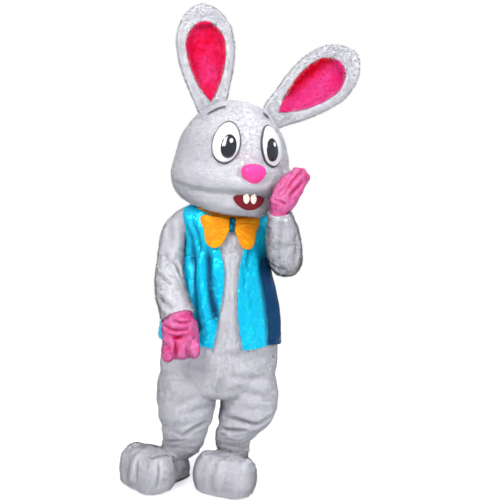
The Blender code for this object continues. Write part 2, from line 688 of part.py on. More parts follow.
def build_head(vest_seat):
    """The head's shell, its ears, and its plain face."""
    shell = cap_wall("head", head_grid(), head_grid(-HEAD_WALL), PARTS)
    boolean(shell, vest_seat)
    finish(shell, WHITE_PLUSH)
    seat = closed_form("head_seat", head_grid(SEAM), CUTTERS)
    for side, sign in (("right", -1), ("left", 1)):
        eye = face_patch(f"eye_{side}", EYES, sign, 0.0, PARTS)
        finish(boolean(eye, seat), EYE_WHITE)
        eye_seat = face_patch(f"eye_seat_{side}", EYES, sign, SEAM, CUTTERS)
        pupil = face_patch(f"pupil_{side}", PUPILS, sign, 0.0, PARTS)
        finish(boolean(boolean(pupil, eye_seat), seat), EYE_BLACK)
    mouth = face_patch("mouth", MOUTH, 1, 0.0, PARTS)
    finish(boolean(mouth, seat), MOUTH_RED)
    mouth_seat = face_patch("mouth_seat", MOUTH, 1, SEAM, CUTTERS)
    for side, sign in (("right", -1), ("left", 1)):
        tooth = face_patch(f"tooth_{side}", TEETH, sign, 0.0, PARTS, columns=10)
        finish(boolean(boolean(tooth, mouth_seat), seat), TOOTH_WHITE)
    point, out = on_head(*NOSE_PLACE)
    nose = ball("nose", point + out * 0.006, NOSE_RADII, PARTS, Matrix.Rotation(HEAD_YAW, 4, "Z"), 12, 8)
    finish(boolean(nose, seat), PINK_PLUSH)
    for side in ("right", "left"):
        build_ear(side, seat)
    return seat


def ear_grid(side, grow=0.0):
    """An ear's surface: a puffy rim round a dished middle, in rings from base to tip."""
    base, tip = EAR_BASES[side], EAR_TIPS[side]
    axis = (tip - base).normalized()
    length = (tip - base).length
    facing = Vector((-0.10, -1.0, 0.0))
    facing = (facing - axis * facing.dot(axis)).normalized()
    across = axis.cross(facing)
    grid = np.zeros((len(EAR), len(EAR_SECTION), 3))
    for i, row in enumerate(EAR):
        for k, rim in enumerate(EAR_SECTION):
            aside = (rim.aside + rim.lining_share * row.lining) * row.half_width
            out = rim.out * row.thick / 2 - rim.dish_share * row.dish
            grid[i, k] = base + axis * row.along * length + across * aside + facing * out
    return offset(grid, grow)


def build_ear(side, head_seat):
    """One ear and the pink lining laid in its dish."""
    ear = closed_form(f"ear_{side}", ear_grid(side), PARTS)
    finish(boolean(ear, head_seat), WHITE_PLUSH)
    raised = ear_grid(side, SEAM + EAR_LINING)[LINING_ROWS, LINING_COLUMNS]
    sunk = ear_grid(side, SEAM)[LINING_ROWS, LINING_COLUMNS]
    rows, width = raised.shape[:2]
    points = [*raised.reshape(-1, 3), *sunk.reshape(-1, 3)]
    under = rows * width
    faces = []
    for level in (0, under):
        for i in range(rows - 1):
            for k in range(width - 1):
                a = level + i * width + k
                faces.append((a, a + 1, a + width + 1))
                faces.append((a, a + width + 1, a + width))
    edge = list(range(width)) + [i * width + width - 1 for i in range(1, rows)]
    edge += [(rows - 1) * width + k for k in range(width - 2, -1, -1)] + [i * width for i in range(rows - 2, 0, -1)]
    for a, b in zip(edge, edge[1:] + edge[:1]):
        faces.append((a, b, under + b))
        faces.append((a, under + b, under + a))
    lining = new_object(f"ear_lining_{side}", points, faces, PARTS)
    finish(lining, PINK_PLUSH)


def build_glove(side):
    """A glove: a hollow hand with three fingers curled from it, its cuff inside the sleeve."""
    count = len(SLEEVES[side])
    cuff = arm_grid(side, -PLUSH - SEAM)[count - CUFF_RINGS:count]
    outer = rounded(np.concatenate([cuff, arm_grid(side)[count:]]), (False, True))
    glove = cap_wall(f"glove_{side}", outer, offset(outer, -PLUSH), PARTS)
    fingers = [rounded(tube_grid(GLOVES[side][name], FINGER_COLUMNS), (False, True)) for name in FINGERS]
    for name, finger in zip(FINGERS, fingers):
        boolean(glove, closed_form(f"{name}_{side}", finger, CUTTERS), "UNION")
    settled(glove)
    for name, finger in zip(FINGERS, fingers):
        room = lengthened(offset(finger, -PLUSH - 0.001)[:-1], 0.024, 0.0)
        boolean(glove, closed_form(f"{name}_room_{side}", room, CUTTERS))
    finish(glove, PINK_PLUSH)


def foot_form(name, side, grow, collection, toes=True):
    """A foot's solid: a body, or a body with three toes and an ankle, standing on the floor."""
    x, y, heading = FOOT_PLACES[side]
    turn = Matrix.Rotation(-math.radians(heading), 4, "Z")
    place = Matrix.Translation((x, y, 0.0)) @ turn
    grid = np.zeros((len(FOOT_BODY), FOOT_COLUMNS, 3))
    for i, row in enumerate(FOOT_BODY):
        middle, half = (row.height - FOOT_BELOW) / 2, (row.height + FOOT_BELOW) / 2
        for k in range(FOOT_COLUMNS):
            angle = 2 * math.pi * (k + 0.5) / FOOT_COLUMNS
            aside, up = math.cos(angle), math.sin(angle)
            wide = math.copysign(abs(aside) ** 0.7, aside) * row.half_width
            tall = math.copysign(abs(up) ** 0.7, up) * half
            grid[i, k] = place @ Vector((wide, -row.along, middle + tall))
    foot = closed_form(name, offset(grid, grow), collection)
    if not toes:
        return foot
    for i, toe in enumerate(TOES):
        rings = [[place @ Vector((toe.aside + TOE_HALF_WIDTH * share * math.cos(turn),
                                  -toe.along - TOE_HALF_LENGTH * share * math.sin(turn), height))
                  for turn in np.linspace(0, 2 * math.pi, TOE_COLUMNS, endpoint=False)]
                 for height, share in TOE_RINGS]
        solid = closed_form(f"{name}_toe_{i}", np.array(rings), CUTTERS)
        solid.data.vertices[-1].co.z = TOE_TOP
        boolean(foot, solid, "UNION")
    ankle = closed_form(f"{name}_ankle", ankle_grid(side, grow - PLUSH - SEAM), CUTTERS)
    return boolean(foot, ankle, "UNION")


def build_foot(side):
    """A stuffed foot hollowed for the wearer's shoe, and its flat sole."""
    foot = settled(foot_form(f"foot_{side}", side, 0.0, PARTS))
    sole = foot_form(f"sole_{side}", side, 0.0, PARTS, toes=False)
    boolean(sole, box(f"sole_room_{side}", (-FAR, -FAR, 0), (FAR, FAR, SOLE_THICK)), "INTERSECT")
    finish(sole, SOLE_GREY)
    x, y, heading = FOOT_PLACES[side]
    place = Matrix.Translation((x, y, 0.0)) @ Matrix.Rotation(-math.radians(heading), 4, "Z")
    boolean(foot, box(f"sole_seat_{side}", (-FAR, -FAR, -FAR), (FAR, FAR, SOLE_THICK + SEAM)))
    rows = [row for row in FOOT_BODY if -0.080 < row.along < 0.140]
    grid = np.zeros((len(rows), FOOT_COLUMNS, 3))
    for i, row in enumerate(rows):
        low, high = SOLE_THICK + FOOT_WALL, row.height - FOOT_WALL
        for k in range(FOOT_COLUMNS):
            angle = 2 * math.pi * k / FOOT_COLUMNS
            wide = math.cos(angle) * (row.half_width - FOOT_WALL)
            grid[i, k] = place @ Vector((wide, -row.along, (low + high) / 2 + math.sin(angle) * (high - low) / 2))
    boolean(foot, closed_form(f"foot_room_{side}", grid, CUTTERS))
    ankle = lengthened(ankle_grid(side, -2 * PLUSH - SEAM), 0.03, 0.0)
    boolean(foot, closed_form(f"ankle_room_{side}", ankle, CUTTERS))
    finish(foot, WHITE_PLUSH)


def pillow(name, outline, centre, thick, curve, grow, collection):
    """A padded piece: an outline in a front view, filled to a thickness and bent back at its sides."""
    count = len(outline)
    middle = Vector((sum(p[0] for p in outline) / count, sum(p[1] for p in outline) / count))
    points = []
    for level in (-1, 1):
        for share in PILLOW_RINGS:
            for across, up in outline:
                at = middle + (Vector((across, up)) - middle) * share
                bulge = level * (thick / 2 * math.sqrt(max(0.0, 1 - share ** 3)) + 0.001 + grow)
                points.append(centre + Vector((at.x, bulge + curve * at.x * at.x, at.y)))
        points.append(centre + Vector((middle.x, level * (thick / 2 + grow) + curve * middle.x ** 2, middle.y)))
    rings = len(PILLOW_RINGS)
    level_size = rings * count + 1
    faces = strip_faces(0, level_size, count)
    for start in (0, level_size):
        for r in range(rings - 1):
            faces += strip_faces(start + r * count, start + (r + 1) * count, count)
        last = start + (rings - 1) * count
        faces += [(start + rings * count, last + k, last + (k + 1) % count) for k in range(count)]
    return new_object(name, points, faces, collection)


def band_form(name, grow, collection):
    """The band's strip across the front of the neck, each end under the head's rim."""
    grid = torso_grid(BAND_LIFT)
    points = []
    for level in (BAND_THICK + grow, -0.003):
        for up in (-BAND_TALL / 2 - grow, BAND_TALL / 2 + grow):
            for azimuth in BAND_AZIMUTHS:
                height = BAND_FRONT + BAND_RISE * (1 - math.cos(math.radians(azimuth))) + up
                ring = np.array([[np.interp(height, grid[:, k, 2], grid[:, k, axis]) for axis in range(3)]
                                 for k in range(grid.shape[1])])
                at = [np.interp(azimuth, TORSO_ANGLES, ring[:, axis]) for axis in range(3)]
                out = Vector((at[0], at[1], 0)).normalized()
                points.append(Vector(at) + out * level)
    n = len(BAND_AZIMUTHS)
    outer_low, outer_high, inner_low, inner_high = 0, n, 2 * n, 3 * n
    faces = [(outer_low, outer_high, inner_high, inner_low),
             (outer_low + n - 1, outer_high + n - 1, inner_high + n - 1, inner_low + n - 1)]
    for k in range(n - 1):
        for a, b in ((outer_low, outer_high), (outer_high, inner_high), (inner_high, inner_low), (inner_low, outer_low)):
            faces.append((a + k, a + k + 1, b + k + 1, b + k))
    return new_object(name, points, faces, collection)


def build_bow(vest_seat, head_seat):
    """The bow's two padded wings, its knot, and the band they are tied to."""
    band = band_form("neckband", 0.0, PARTS)
    finish(boolean(boolean(band, vest_seat), head_seat), ORANGE_SATIN)
    band_seat = band_form("band_seat", SEAM, CUTTERS)
    place = BOW_CENTRE + Vector((0, -0.006, 0))
    knot = ball("bow_knot", place, KNOT_RADII, PARTS, None, 12, 8)
    finish(boolean(boolean(knot, band_seat), vest_seat), TEAL_SATIN)
    knot_seat = ball("knot_seat", place, KNOT_RADII + Vector((SEAM, SEAM, SEAM)), CUTTERS, None, 12, 8)
    for side, sign in (("right", -1), ("left", 1)):
        wing_outline = [(sign * a * (1.0 if sign < 0 else 0.92), b) for a, b in BOW_OUTLINE]
        wing = pillow(f"bow_wing_{side}", wing_outline, BOW_CENTRE, BOW_THICK, BOW_CURVE, 0.0, PARTS)
        for seat in (knot_seat, vest_seat, head_seat, band_seat):
            boolean(wing, seat)
        finish(wing, ORANGE_SATIN)


def clear_scene():
    """Removes what the scene holds."""
    for old in list(bpy.data.objects):
        bpy.data.objects.remove(old)


def collection(name):
    """A new collection in the scene."""
    made = bpy.data.collections.new(name)
    bpy.context.scene.collection.children.link(made)
    return made


LEG_COLUMNS = 13
ARM_COLUMNS = 12
HEAD_COLUMNS = 24
FINGER_COLUMNS = 7
FOOT_COLUMNS = 12
TOE_COLUMNS = 9
PILLOW_RINGS = (1.0, 0.85, 0.5)
BAND_AZIMUTHS = (-62.0, -44.0, -27.0, -9.0, 9.0, 27.0, 44.0, 62.0)
BAND_FRONT = 1.318
BAND_RISE = 0.050
BAND_TALL = 0.026
BAND_THICK = 0.004
BAND_LIFT = 0.006
KNOT_RADII = Vector((0.019, 0.022, 0.036))
TORSO_ANGLES = azimuths(22, 0.15)
ARMHOLE_RINGS = {"right": 6, "left": 5}
CUFF_RINGS = 3
ANKLE_RINGS = 4
ANKLE_DROP = 0.050
ANKLE_NARROW = 0.62

clear_scene()
PARTS = collection("rabbit_costume")
CUTTERS = collection("cutters")
FRAME = bpy.data.objects.new("costume_frame", None)
PARTS.objects.link(FRAME)
FRAME.location = (0.0, 0.0, -SHOULDER_HEIGHT)

WHITE_PLUSH = material("white_plush", (0.86, 0.85, 0.88), 0.95)
PINK_PLUSH = material("pink_plush", (0.95, 0.20, 0.42), 0.95)
BLUE_SATIN = material("blue_satin", (0.01, 0.42, 0.72), 0.25, 0.6)
ORANGE_SATIN = material("orange_satin", (0.95, 0.38, 0.03), 0.4)
TEAL_SATIN = material("teal_satin", (0.02, 0.45, 0.60), 0.3)
EYE_WHITE = material("eye_white", (0.93, 0.93, 0.93), 0.15)
EYE_BLACK = material("eye_black", (0.01, 0.01, 0.012), 0.1)
MOUTH_RED = material("mouth_red", (0.25, 0.01, 0.03), 0.6)
TOOTH_WHITE = material("tooth_white", (0.90, 0.86, 0.76), 0.3)
SOLE_GREY = material("sole_grey", (0.30, 0.30, 0.32), 0.8)

build_suit()
VEST_SEAT = build_vest()
HEAD_SEAT = build_head(VEST_SEAT)
for each_side in SIDES:
    build_foot(each_side)
    build_glove(each_side)
build_bow(VEST_SEAT, HEAD_SEAT)
for cutter in CUTTERS.objects:
    cutter.hide_render = True
    cutter.display_type = "WIRE"
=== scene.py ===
"""Looks of the plush rabbit costume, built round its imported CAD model.

Heights in the tables are above the floor, and the tables are those of the part's own source. The costume's front
faces -Y, its own left side is +X, and azimuth 0 is the front. The plush's backing lies inside the solids' outline
by the length of its pile, so the pile's tips end where the solids do.
"""
import logging
import math
from dataclasses import dataclass
from enum import Enum
from typing import Callable, Sequence

import bmesh
import bpy
import numpy as np
from mathutils import Matrix, Vector, noise

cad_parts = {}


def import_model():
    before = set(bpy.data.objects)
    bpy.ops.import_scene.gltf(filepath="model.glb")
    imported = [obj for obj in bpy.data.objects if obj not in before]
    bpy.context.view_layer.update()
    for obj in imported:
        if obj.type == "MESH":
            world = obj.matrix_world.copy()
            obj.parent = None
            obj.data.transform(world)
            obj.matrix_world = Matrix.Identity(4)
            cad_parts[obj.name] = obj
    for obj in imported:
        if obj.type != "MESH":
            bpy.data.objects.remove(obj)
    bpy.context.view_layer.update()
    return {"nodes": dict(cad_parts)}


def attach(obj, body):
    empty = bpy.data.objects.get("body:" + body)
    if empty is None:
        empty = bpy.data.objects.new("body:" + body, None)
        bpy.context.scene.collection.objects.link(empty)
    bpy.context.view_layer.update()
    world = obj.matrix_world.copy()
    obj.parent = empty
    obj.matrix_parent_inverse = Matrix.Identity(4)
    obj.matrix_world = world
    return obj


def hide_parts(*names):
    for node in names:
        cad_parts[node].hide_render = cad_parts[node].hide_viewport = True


LOG = logging.getLogger("rabbit_costume")
Rgb = tuple[float, float, float]
Object = bpy.types.Object

SHOULDER = 1.345
PILE_DEPTH = 0.007
PLUSH = 0.003
LAME = 0.0015
HEAD_WALL = 0.008
HEAD_YAW = math.radians(10.0)
VEST_HEM = 0.718
VEST_TOP = 1.366
HEM_TILT = 0.30
HEM_TILT_FROM = 0.290
HEM_TILT_TO = 0.180
NECK_RIM = 1.406
COLLAR_FROM = 1.36
# How dark the painted shade in the troughs of creases is on the body, the sleeves and the feet
BODY_SHADE, SLEEVE_SHADE, FOOT_SHADE = 0.90, 0.55, 0.70


class Side(Enum):
    """The costume's own right and left."""

    RIGHT = "right"
    LEFT = "left"

    @property
    def sign(self) -> int:
        """-1 for the right side and 1 for the left, along X."""
        return -1 if self is Side.RIGHT else 1


@dataclass(frozen=True)
class Fold:
    """A crease or swelling of a surface in rings: its place, its reach, its slope and how far it moves out."""

    height: float
    azimuth: float
    tall: float
    wide: float
    slope: float
    depth: float


@dataclass(frozen=True)
class Crease:
    """A soft trough along a path on a skin, its half width, its depth and the share of it that swells beside."""

    path: tuple[tuple[float, float, float], ...]
    wide: float
    deep: float
    swell: float = 0.35


@dataclass(frozen=True)
class Pleat:
    """A long fold of the waistcoat, from an upper end to a lower one."""

    top_azimuth: float
    top: float
    low_azimuth: float
    low: float
    wide: float
    depth: float


# Sections of the upright forms: height, x, y, half width, front depth, back depth
TORSO = np.array([
    (0.440, 0, 0, 0.100, 0.090, 0.120), (0.466, 0, 0, 0.200, 0.160, 0.175), (0.520, 0, 0, 0.272, 0.190, 0.198),
    (0.580, 0, 0, 0.289, 0.200, 0.208), (0.650, 0, 0, 0.287, 0.200, 0.206), (0.720, 0, 0, 0.283, 0.201, 0.200),
    (0.800, 0, 0, 0.279, 0.203, 0.190), (0.890, 0, 0, 0.261, 0.198, 0.176), (0.970, 0, 0, 0.237, 0.188, 0.165),
    (1.040, 0, 0, 0.216, 0.177, 0.157), (1.120, 0, 0, 0.199, 0.166, 0.150), (1.200, 0, 0, 0.195, 0.157, 0.146),
    (1.260, 0, 0, 0.204, 0.149, 0.141), (1.305, 0, 0, 0.211, 0.137, 0.131), (1.338, 0, 0, 0.198, 0.122, 0.118),
    (1.370, 0, 0, 0.148, 0.105, 0.103), (1.386, 0, 0, 0.112, 0.095, 0.096), (1.412, 0, 0, 0.094, 0.085, 0.090),
])
LEGS = {
    Side.RIGHT: np.array([
        (0.560, -0.141, 0.000, 0.137, 0.166, 0.168), (0.470, -0.147, -0.005, 0.147, 0.160, 0.166),
        (0.410, -0.148, -0.010, 0.145, 0.152, 0.152), (0.350, -0.148, -0.012, 0.136, 0.144, 0.137),
        (0.310, -0.148, -0.012, 0.126, 0.134, 0.124), (0.280, -0.148, -0.010, 0.116, 0.120, 0.113),
        (0.250, -0.148, -0.008, 0.113, 0.119, 0.108), (0.222, -0.149, -0.002, 0.103, 0.106, 0.100),
        (0.198, -0.152, 0.010, 0.103, 0.106, 0.101), (0.176, -0.156, 0.020, 0.093, 0.095, 0.095),
        (0.158, -0.159, 0.026, 0.097, 0.099, 0.099)]),
    Side.LEFT: np.array([
        (0.560, 0.145, -0.003, 0.136, 0.167, 0.168), (0.470, 0.154, -0.014, 0.147, 0.164, 0.166),
        (0.410, 0.158, -0.022, 0.143, 0.158, 0.152), (0.350, 0.153, -0.027, 0.137, 0.150, 0.138),
        (0.310, 0.140, -0.028, 0.128, 0.138, 0.126), (0.280, 0.122, -0.028, 0.110, 0.118, 0.112),
        (0.250, 0.105, -0.026, 0.103, 0.112, 0.106), (0.222, 0.094, -0.015, 0.090, 0.097, 0.095),
        (0.198, 0.094, -0.004, 0.092, 0.098, 0.096), (0.176, 0.098, 0.008, 0.086, 0.090, 0.090),
        (0.158, 0.101, 0.014, 0.091, 0.094, 0.093)]),
}
# Stations along the arms and fingers: x, y, height, half width fore and aft, half width across
SLEEVES = {
    Side.RIGHT: np.array([
        (-0.130, 0.000, 1.290, 0.066, 0.066), (-0.185, 0.000, 1.280, 0.072, 0.070),
        (-0.228, -0.002, 1.245, 0.074, 0.071), (-0.254, -0.012, 1.195, 0.069, 0.067),
        (-0.266, -0.038, 1.135, 0.064, 0.063), (-0.270, -0.085, 1.070, 0.067, 0.067),
        (-0.272, -0.134, 1.010, 0.074, 0.070), (-0.266, -0.176, 0.960, 0.076, 0.074),
        (-0.254, -0.214, 0.920, 0.079, 0.076), (-0.243, -0.242, 0.890, 0.080, 0.077),
        (-0.236, -0.256, 0.873, 0.077, 0.074)]),
    Side.LEFT: np.array([
        (0.130, 0.006, 1.290, 0.066, 0.066), (0.190, 0.008, 1.282, 0.072, 0.070),
        (0.238, 0.010, 1.250, 0.074, 0.070), (0.270, 0.010, 1.200, 0.072, 0.068),
        (0.280, -0.010, 1.155, 0.074, 0.068), (0.278, -0.060, 1.128, 0.080, 0.076),
        (0.266, -0.118, 1.132, 0.085, 0.082), (0.248, -0.166, 1.165, 0.089, 0.086),
        (0.232, -0.198, 1.215, 0.088, 0.085), (0.214, -0.234, 1.270, 0.079, 0.076),
        (0.196, -0.265, 1.320, 0.066, 0.064), (0.181, -0.285, 1.362, 0.054, 0.053)]),
}
HANDS = {
    Side.RIGHT: np.array([
        (-0.232, -0.264, 0.848, 0.070, 0.080), (-0.225, -0.278, 0.812, 0.060, 0.086),
        (-0.219, -0.286, 0.772, 0.050, 0.086), (-0.216, -0.290, 0.738, 0.042, 0.076)]),
    Side.LEFT: np.array([
        (0.186, -0.296, 1.398, 0.048, 0.058), (0.202, -0.299, 1.440, 0.044, 0.062),
        (0.226, -0.290, 1.480, 0.042, 0.060), (0.248, -0.276, 1.508, 0.038, 0.050)]),
}
# Stations of a sleeve's head, and how flat it is at each
SLEEVE_HEAD = ((0.0, 1.0, 3.0), (0.66, 0.74, 1.0))
# How much narrower a glove's cuff is than the sleeve that it is in
CUFF_EASE = 0.012
FINGERS = {
    Side.RIGHT: [
        np.array([(-0.268, -0.292, 0.775, 0.028, 0.028), (-0.272, -0.302, 0.735, 0.031, 0.031),
                  (-0.274, -0.304, 0.702, 0.029, 0.029)]),
        np.array([(-0.218, -0.296, 0.770, 0.029, 0.028), (-0.219, -0.316, 0.738, 0.032, 0.030),
                  (-0.218, -0.312, 0.718, 0.030, 0.028)]),
        np.array([(-0.168, -0.292, 0.776, 0.027, 0.027), (-0.163, -0.304, 0.742, 0.030, 0.029),
                  (-0.160, -0.304, 0.720, 0.028, 0.028)])],
    Side.LEFT: [
        np.array([(0.258, -0.270, 1.482, 0.026, 0.026), (0.282, -0.256, 1.506, 0.029, 0.028),
                  (0.294, -0.250, 1.520, 0.027, 0.026)]),
        np.array([(0.248, -0.276, 1.494, 0.028, 0.027), (0.268, -0.264, 1.524, 0.030, 0.028),
                  (0.276, -0.256, 1.538, 0.028, 0.026)]),
        np.array([(0.228, -0.288, 1.500, 0.026, 0.026), (0.242, -0.280, 1.528, 0.028, 0.027),
                  (0.248, -0.274, 1.542, 0.026, 0.025)])],
}
# The head's sections: height, half width, front depth, back depth, how far the front of the section hangs down
HEAD = np.array([
    (1.388, 0.118, 0.112, 0.118, 0.000), (1.376, 0.152, 0.172, 0.150, 0.022), (1.384, 0.208, 0.226, 0.196, 0.056),
    (1.412, 0.250, 0.252, 0.228, 0.050), (1.455, 0.276, 0.262, 0.247, 0.026), (1.510, 0.285, 0.262, 0.256, 0.004),
    (1.570, 0.275, 0.254, 0.258, 0.000), (1.630, 0.260, 0.248, 0.256, 0.000), (1.690, 0.242, 0.240, 0.246, 0.000),
    (1.745, 0.209, 0.215, 0.217, 0.000), (1.795, 0.166, 0.175, 0.175, 0.000), (1.833, 0.112, 0.120, 0.118, 0.000),
    (1.856, 0.056, 0.060, 0.060, 0.000),
])
HEAD_FORMS = [
    Fold(1.478, 0.0, 0.050, 34.0, 0.0, 0.050), Fold(1.490, 62.0, 0.060, 26.0, 0.0, 0.020),
    Fold(1.490, -62.0, 0.060, 26.0, 0.0, 0.020), Fold(1.372, 0.0, 0.030, 30.0, 0.0, 0.018),
    # A roll's lower edge from cheek to cheek, soft hollows beside the nose, and a dent over each cheek
    Fold(1.428, 0.0, 0.011, 50.0, 0.0, -0.010), Fold(1.442, 58.0, 0.012, 24.0, 0.0008, -0.007),
    Fold(1.442, -58.0, 0.012, 24.0, -0.0008, -0.007), Fold(1.575, 20.0, 0.026, 13.0, 0.0, -0.006),
    Fold(1.575, -20.0, 0.026, 13.0, 0.0, -0.006), Fold(1.566, 70.0, 0.020, 26.0, 0.0, -0.005),
    Fold(1.566, -70.0, 0.020, 26.0, 0.0, -0.005), Fold(1.520, 180.0, 0.060, 50.0, 0.0, 0.004),
    Fold(1.455, 150.0, 0.014, 34.0, 0.0003, -0.005), Fold(1.462, -146.0, 0.015, 30.0, -0.0004, -0.005),
]
LEG_FOLDS = {
    Side.RIGHT: [
        Fold(0.318, -40.0, 0.016, 70.0, 0.00040, -0.006), Fold(0.372, -100.0, 0.015, 36.0, -0.00050, -0.006),
        Fold(0.276, -128.0, 0.011, 44.0, 0.00040, -0.009), Fold(0.300, 84.0, 0.011, 34.0, 0.00050, -0.008),
        Fold(0.238, 160.0, 0.010, 50.0, -0.00030, -0.008), Fold(0.418, 172.0, 0.016, 40.0, 0.00030, -0.008)],
    Side.LEFT: [
        Fold(0.366, 98.0, 0.015, 34.0, 0.00080, -0.008), Fold(0.404, -80.0, 0.015, 34.0, -0.00090, -0.006),
        Fold(0.282, 172.0, 0.010, 44.0, -0.00030, -0.009), Fold(0.248, 120.0, 0.009, 40.0, 0.00040, -0.007),
        Fold(0.300, -106.0, 0.011, 34.0, 0.00050, -0.008), Fold(0.430, -178.0, 0.017, 40.0, -0.00020, -0.008)],
}
SUIT_CREASES = [
    Crease(((0.031, -0.087, 0.357), (0.074, -0.144, 0.362), (0.128, -0.169, 0.354), (0.181, -0.165, 0.347),
            (0.236, -0.142, 0.371)), 0.011, 0.015),
    Crease(((0.020, -0.056, 0.292), (0.051, -0.110, 0.300), (0.079, -0.140, 0.303), (0.120, -0.159, 0.311)),
           0.009, 0.015),
    Crease(((0.013, -0.066, 0.262), (0.024, -0.085, 0.263), (0.040, -0.105, 0.268)), 0.007, 0.009),
    Crease(((0.050, -0.108, 0.244), (0.105, -0.125, 0.236), (0.151, -0.126, 0.261)), 0.009, 0.012),
    Crease(((0.011, -0.199, 0.589), (0.124, -0.178, 0.573), (0.245, -0.111, 0.559)), 0.017, 0.005),
    Crease(((0.061, -0.181, 0.515), (0.154, -0.175, 0.495), (0.254, -0.129, 0.456)), 0.017, 0.006),
    Crease(((0.040, -0.150, 0.440), (0.120, -0.172, 0.425), (0.215, -0.155, 0.430)), 0.014, 0.004),
    Crease(((-0.019, -0.164, 0.475), (-0.015, -0.191, 0.537), (-0.007, -0.198, 0.577)), 0.021, 0.008, 0.1),
    Crease(((-0.167, -0.122, 0.271), (-0.120, -0.138, 0.310), (-0.075, -0.121, 0.330), (-0.049, -0.099, 0.335)),
           0.010, 0.015),
    Crease(((-0.245, -0.011, 0.214), (-0.200, -0.086, 0.231), (-0.153, -0.119, 0.250)), 0.008, 0.011),
    Crease(((-0.214, -0.052, 0.190), (-0.158, -0.090, 0.186), (-0.091, -0.065, 0.186), (-0.063, -0.042, 0.199)),
           0.008, 0.011),
    Crease(((-0.030, -0.098, 0.419), (-0.098, -0.149, 0.412), (-0.168, -0.155, 0.394)), 0.015, 0.006),
    Crease(((-0.237, -0.124, 0.426), (-0.185, -0.154, 0.446), (-0.122, -0.158, 0.477)), 0.015, 0.006),
    Crease(((0.020, 0.090, 0.330), (0.080, 0.125, 0.340), (0.150, 0.135, 0.332), (0.210, 0.110, 0.350)),
           0.010, 0.014),
    Crease(((0.030, 0.080, 0.270), (0.090, 0.095, 0.262), (0.150, 0.085, 0.275)), 0.008, 0.011),
    Crease(((-0.040, 0.090, 0.345), (-0.110, 0.128, 0.335), (-0.180, 0.125, 0.350), (-0.240, 0.085, 0.340)),
           0.010, 0.014),
    Crease(((-0.080, 0.095, 0.262), (-0.150, 0.105, 0.255), (-0.210, 0.075, 0.270)), 0.008, 0.011),
    Crease(((-0.100, 0.105, 0.205), (-0.160, 0.118, 0.196), (-0.210, 0.080, 0.208)), 0.007, 0.009),
    Crease(((0.000, 0.150, 0.462), (0.002, 0.190, 0.520), (0.000, 0.205, 0.620)), 0.013, 0.013),
    Crease(((0.045, 0.175, 0.500), (0.130, 0.185, 0.476), (0.210, 0.150, 0.490)), 0.013, 0.009),
    Crease(((-0.045, 0.175, 0.500), (-0.130, 0.185, 0.480), (-0.205, 0.150, 0.494)), 0.013, 0.009),
]
SLEEVE_CREASES = {
    Side.RIGHT: [
        Crease(((-0.336, -0.131, 1.043), (-0.316, -0.181, 1.037), (-0.291, -0.217, 1.021), (-0.269, -0.225, 1.015)),
               0.009, 0.013),
        Crease(((-0.284, -0.032, 1.271), (-0.274, -0.072, 1.219), (-0.263, -0.092, 1.166)), 0.014, 0.008),
        Crease(((-0.254, -0.134, 1.111), (-0.236, -0.158, 1.074), (-0.216, -0.168, 1.035)), 0.010, 0.012),
        Crease(((-0.327, -0.222, 0.949), (-0.294, -0.283, 0.930), (-0.252, -0.313, 0.920)), 0.011, 0.008),
        Crease(((-0.312, -0.086, 1.144), (-0.286, -0.128, 1.118), (-0.254, -0.146, 1.099)), 0.010, 0.009),
        Crease(((-0.320, -0.020, 1.050), (-0.300, 0.000, 1.075), (-0.260, 0.010, 1.080)), 0.011, 0.009)],
    Side.LEFT: [
        Crease(((0.189, -0.332, 1.333), (0.188, -0.303, 1.247), (0.193, -0.251, 1.161)), 0.016, 0.007),
        Crease(((0.264, -0.287, 1.263), (0.280, -0.263, 1.194), (0.274, -0.237, 1.126)), 0.014, 0.006),
        Crease(((0.176, -0.151, 1.119), (0.205, -0.196, 1.099), (0.250, -0.209, 1.094)), 0.010, 0.009),
        Crease(((0.150, -0.300, 1.356), (0.190, -0.325, 1.343), (0.232, -0.290, 1.343)), 0.009, 0.008)],
}
GLOVE_CREASES = {
    Side.RIGHT: [
        Crease(((-0.303, -0.297, 0.843), (-0.275, -0.329, 0.831), (-0.236, -0.336, 0.826), (-0.196, -0.326, 0.832)),
               0.007, 0.010),
        Crease(((-0.276, -0.319, 0.868), (-0.217, -0.329, 0.858), (-0.179, -0.309, 0.864)), 0.006, 0.008),
        Crease(((-0.268, -0.335, 0.799), (-0.238, -0.338, 0.792), (-0.208, -0.333, 0.803)), 0.013, 0.015, 0.2),
        Crease(((-0.247, -0.338, 0.785), (-0.245, -0.336, 0.745), (-0.244, -0.325, 0.700)), 0.008, 0.014, 0.2),
        Crease(((-0.193, -0.338, 0.785), (-0.191, -0.334, 0.745), (-0.189, -0.322, 0.705)), 0.008, 0.014, 0.2),
        Crease(((-0.247, -0.230, 0.780), (-0.246, -0.240, 0.745), (-0.245, -0.260, 0.705)), 0.008, 0.012, 0.2),
        Crease(((-0.191, -0.230, 0.780), (-0.190, -0.240, 0.745), (-0.190, -0.260, 0.710)), 0.008, 0.012, 0.2)],
    Side.LEFT: [
        Crease(((0.183, -0.338, 1.445), (0.209, -0.328, 1.487), (0.242, -0.310, 1.524), (0.270, -0.285, 1.543)),
               0.007, 0.010),
        Crease(((0.210, -0.342, 1.436), (0.241, -0.332, 1.472), (0.277, -0.304, 1.504)), 0.007, 0.011),
        Crease(((0.145, -0.319, 1.417), (0.172, -0.339, 1.407), (0.199, -0.342, 1.396)), 0.006, 0.008),
        Crease(((0.156, -0.322, 1.440), (0.183, -0.328, 1.472), (0.211, -0.312, 1.517)), 0.006, 0.008)],
}
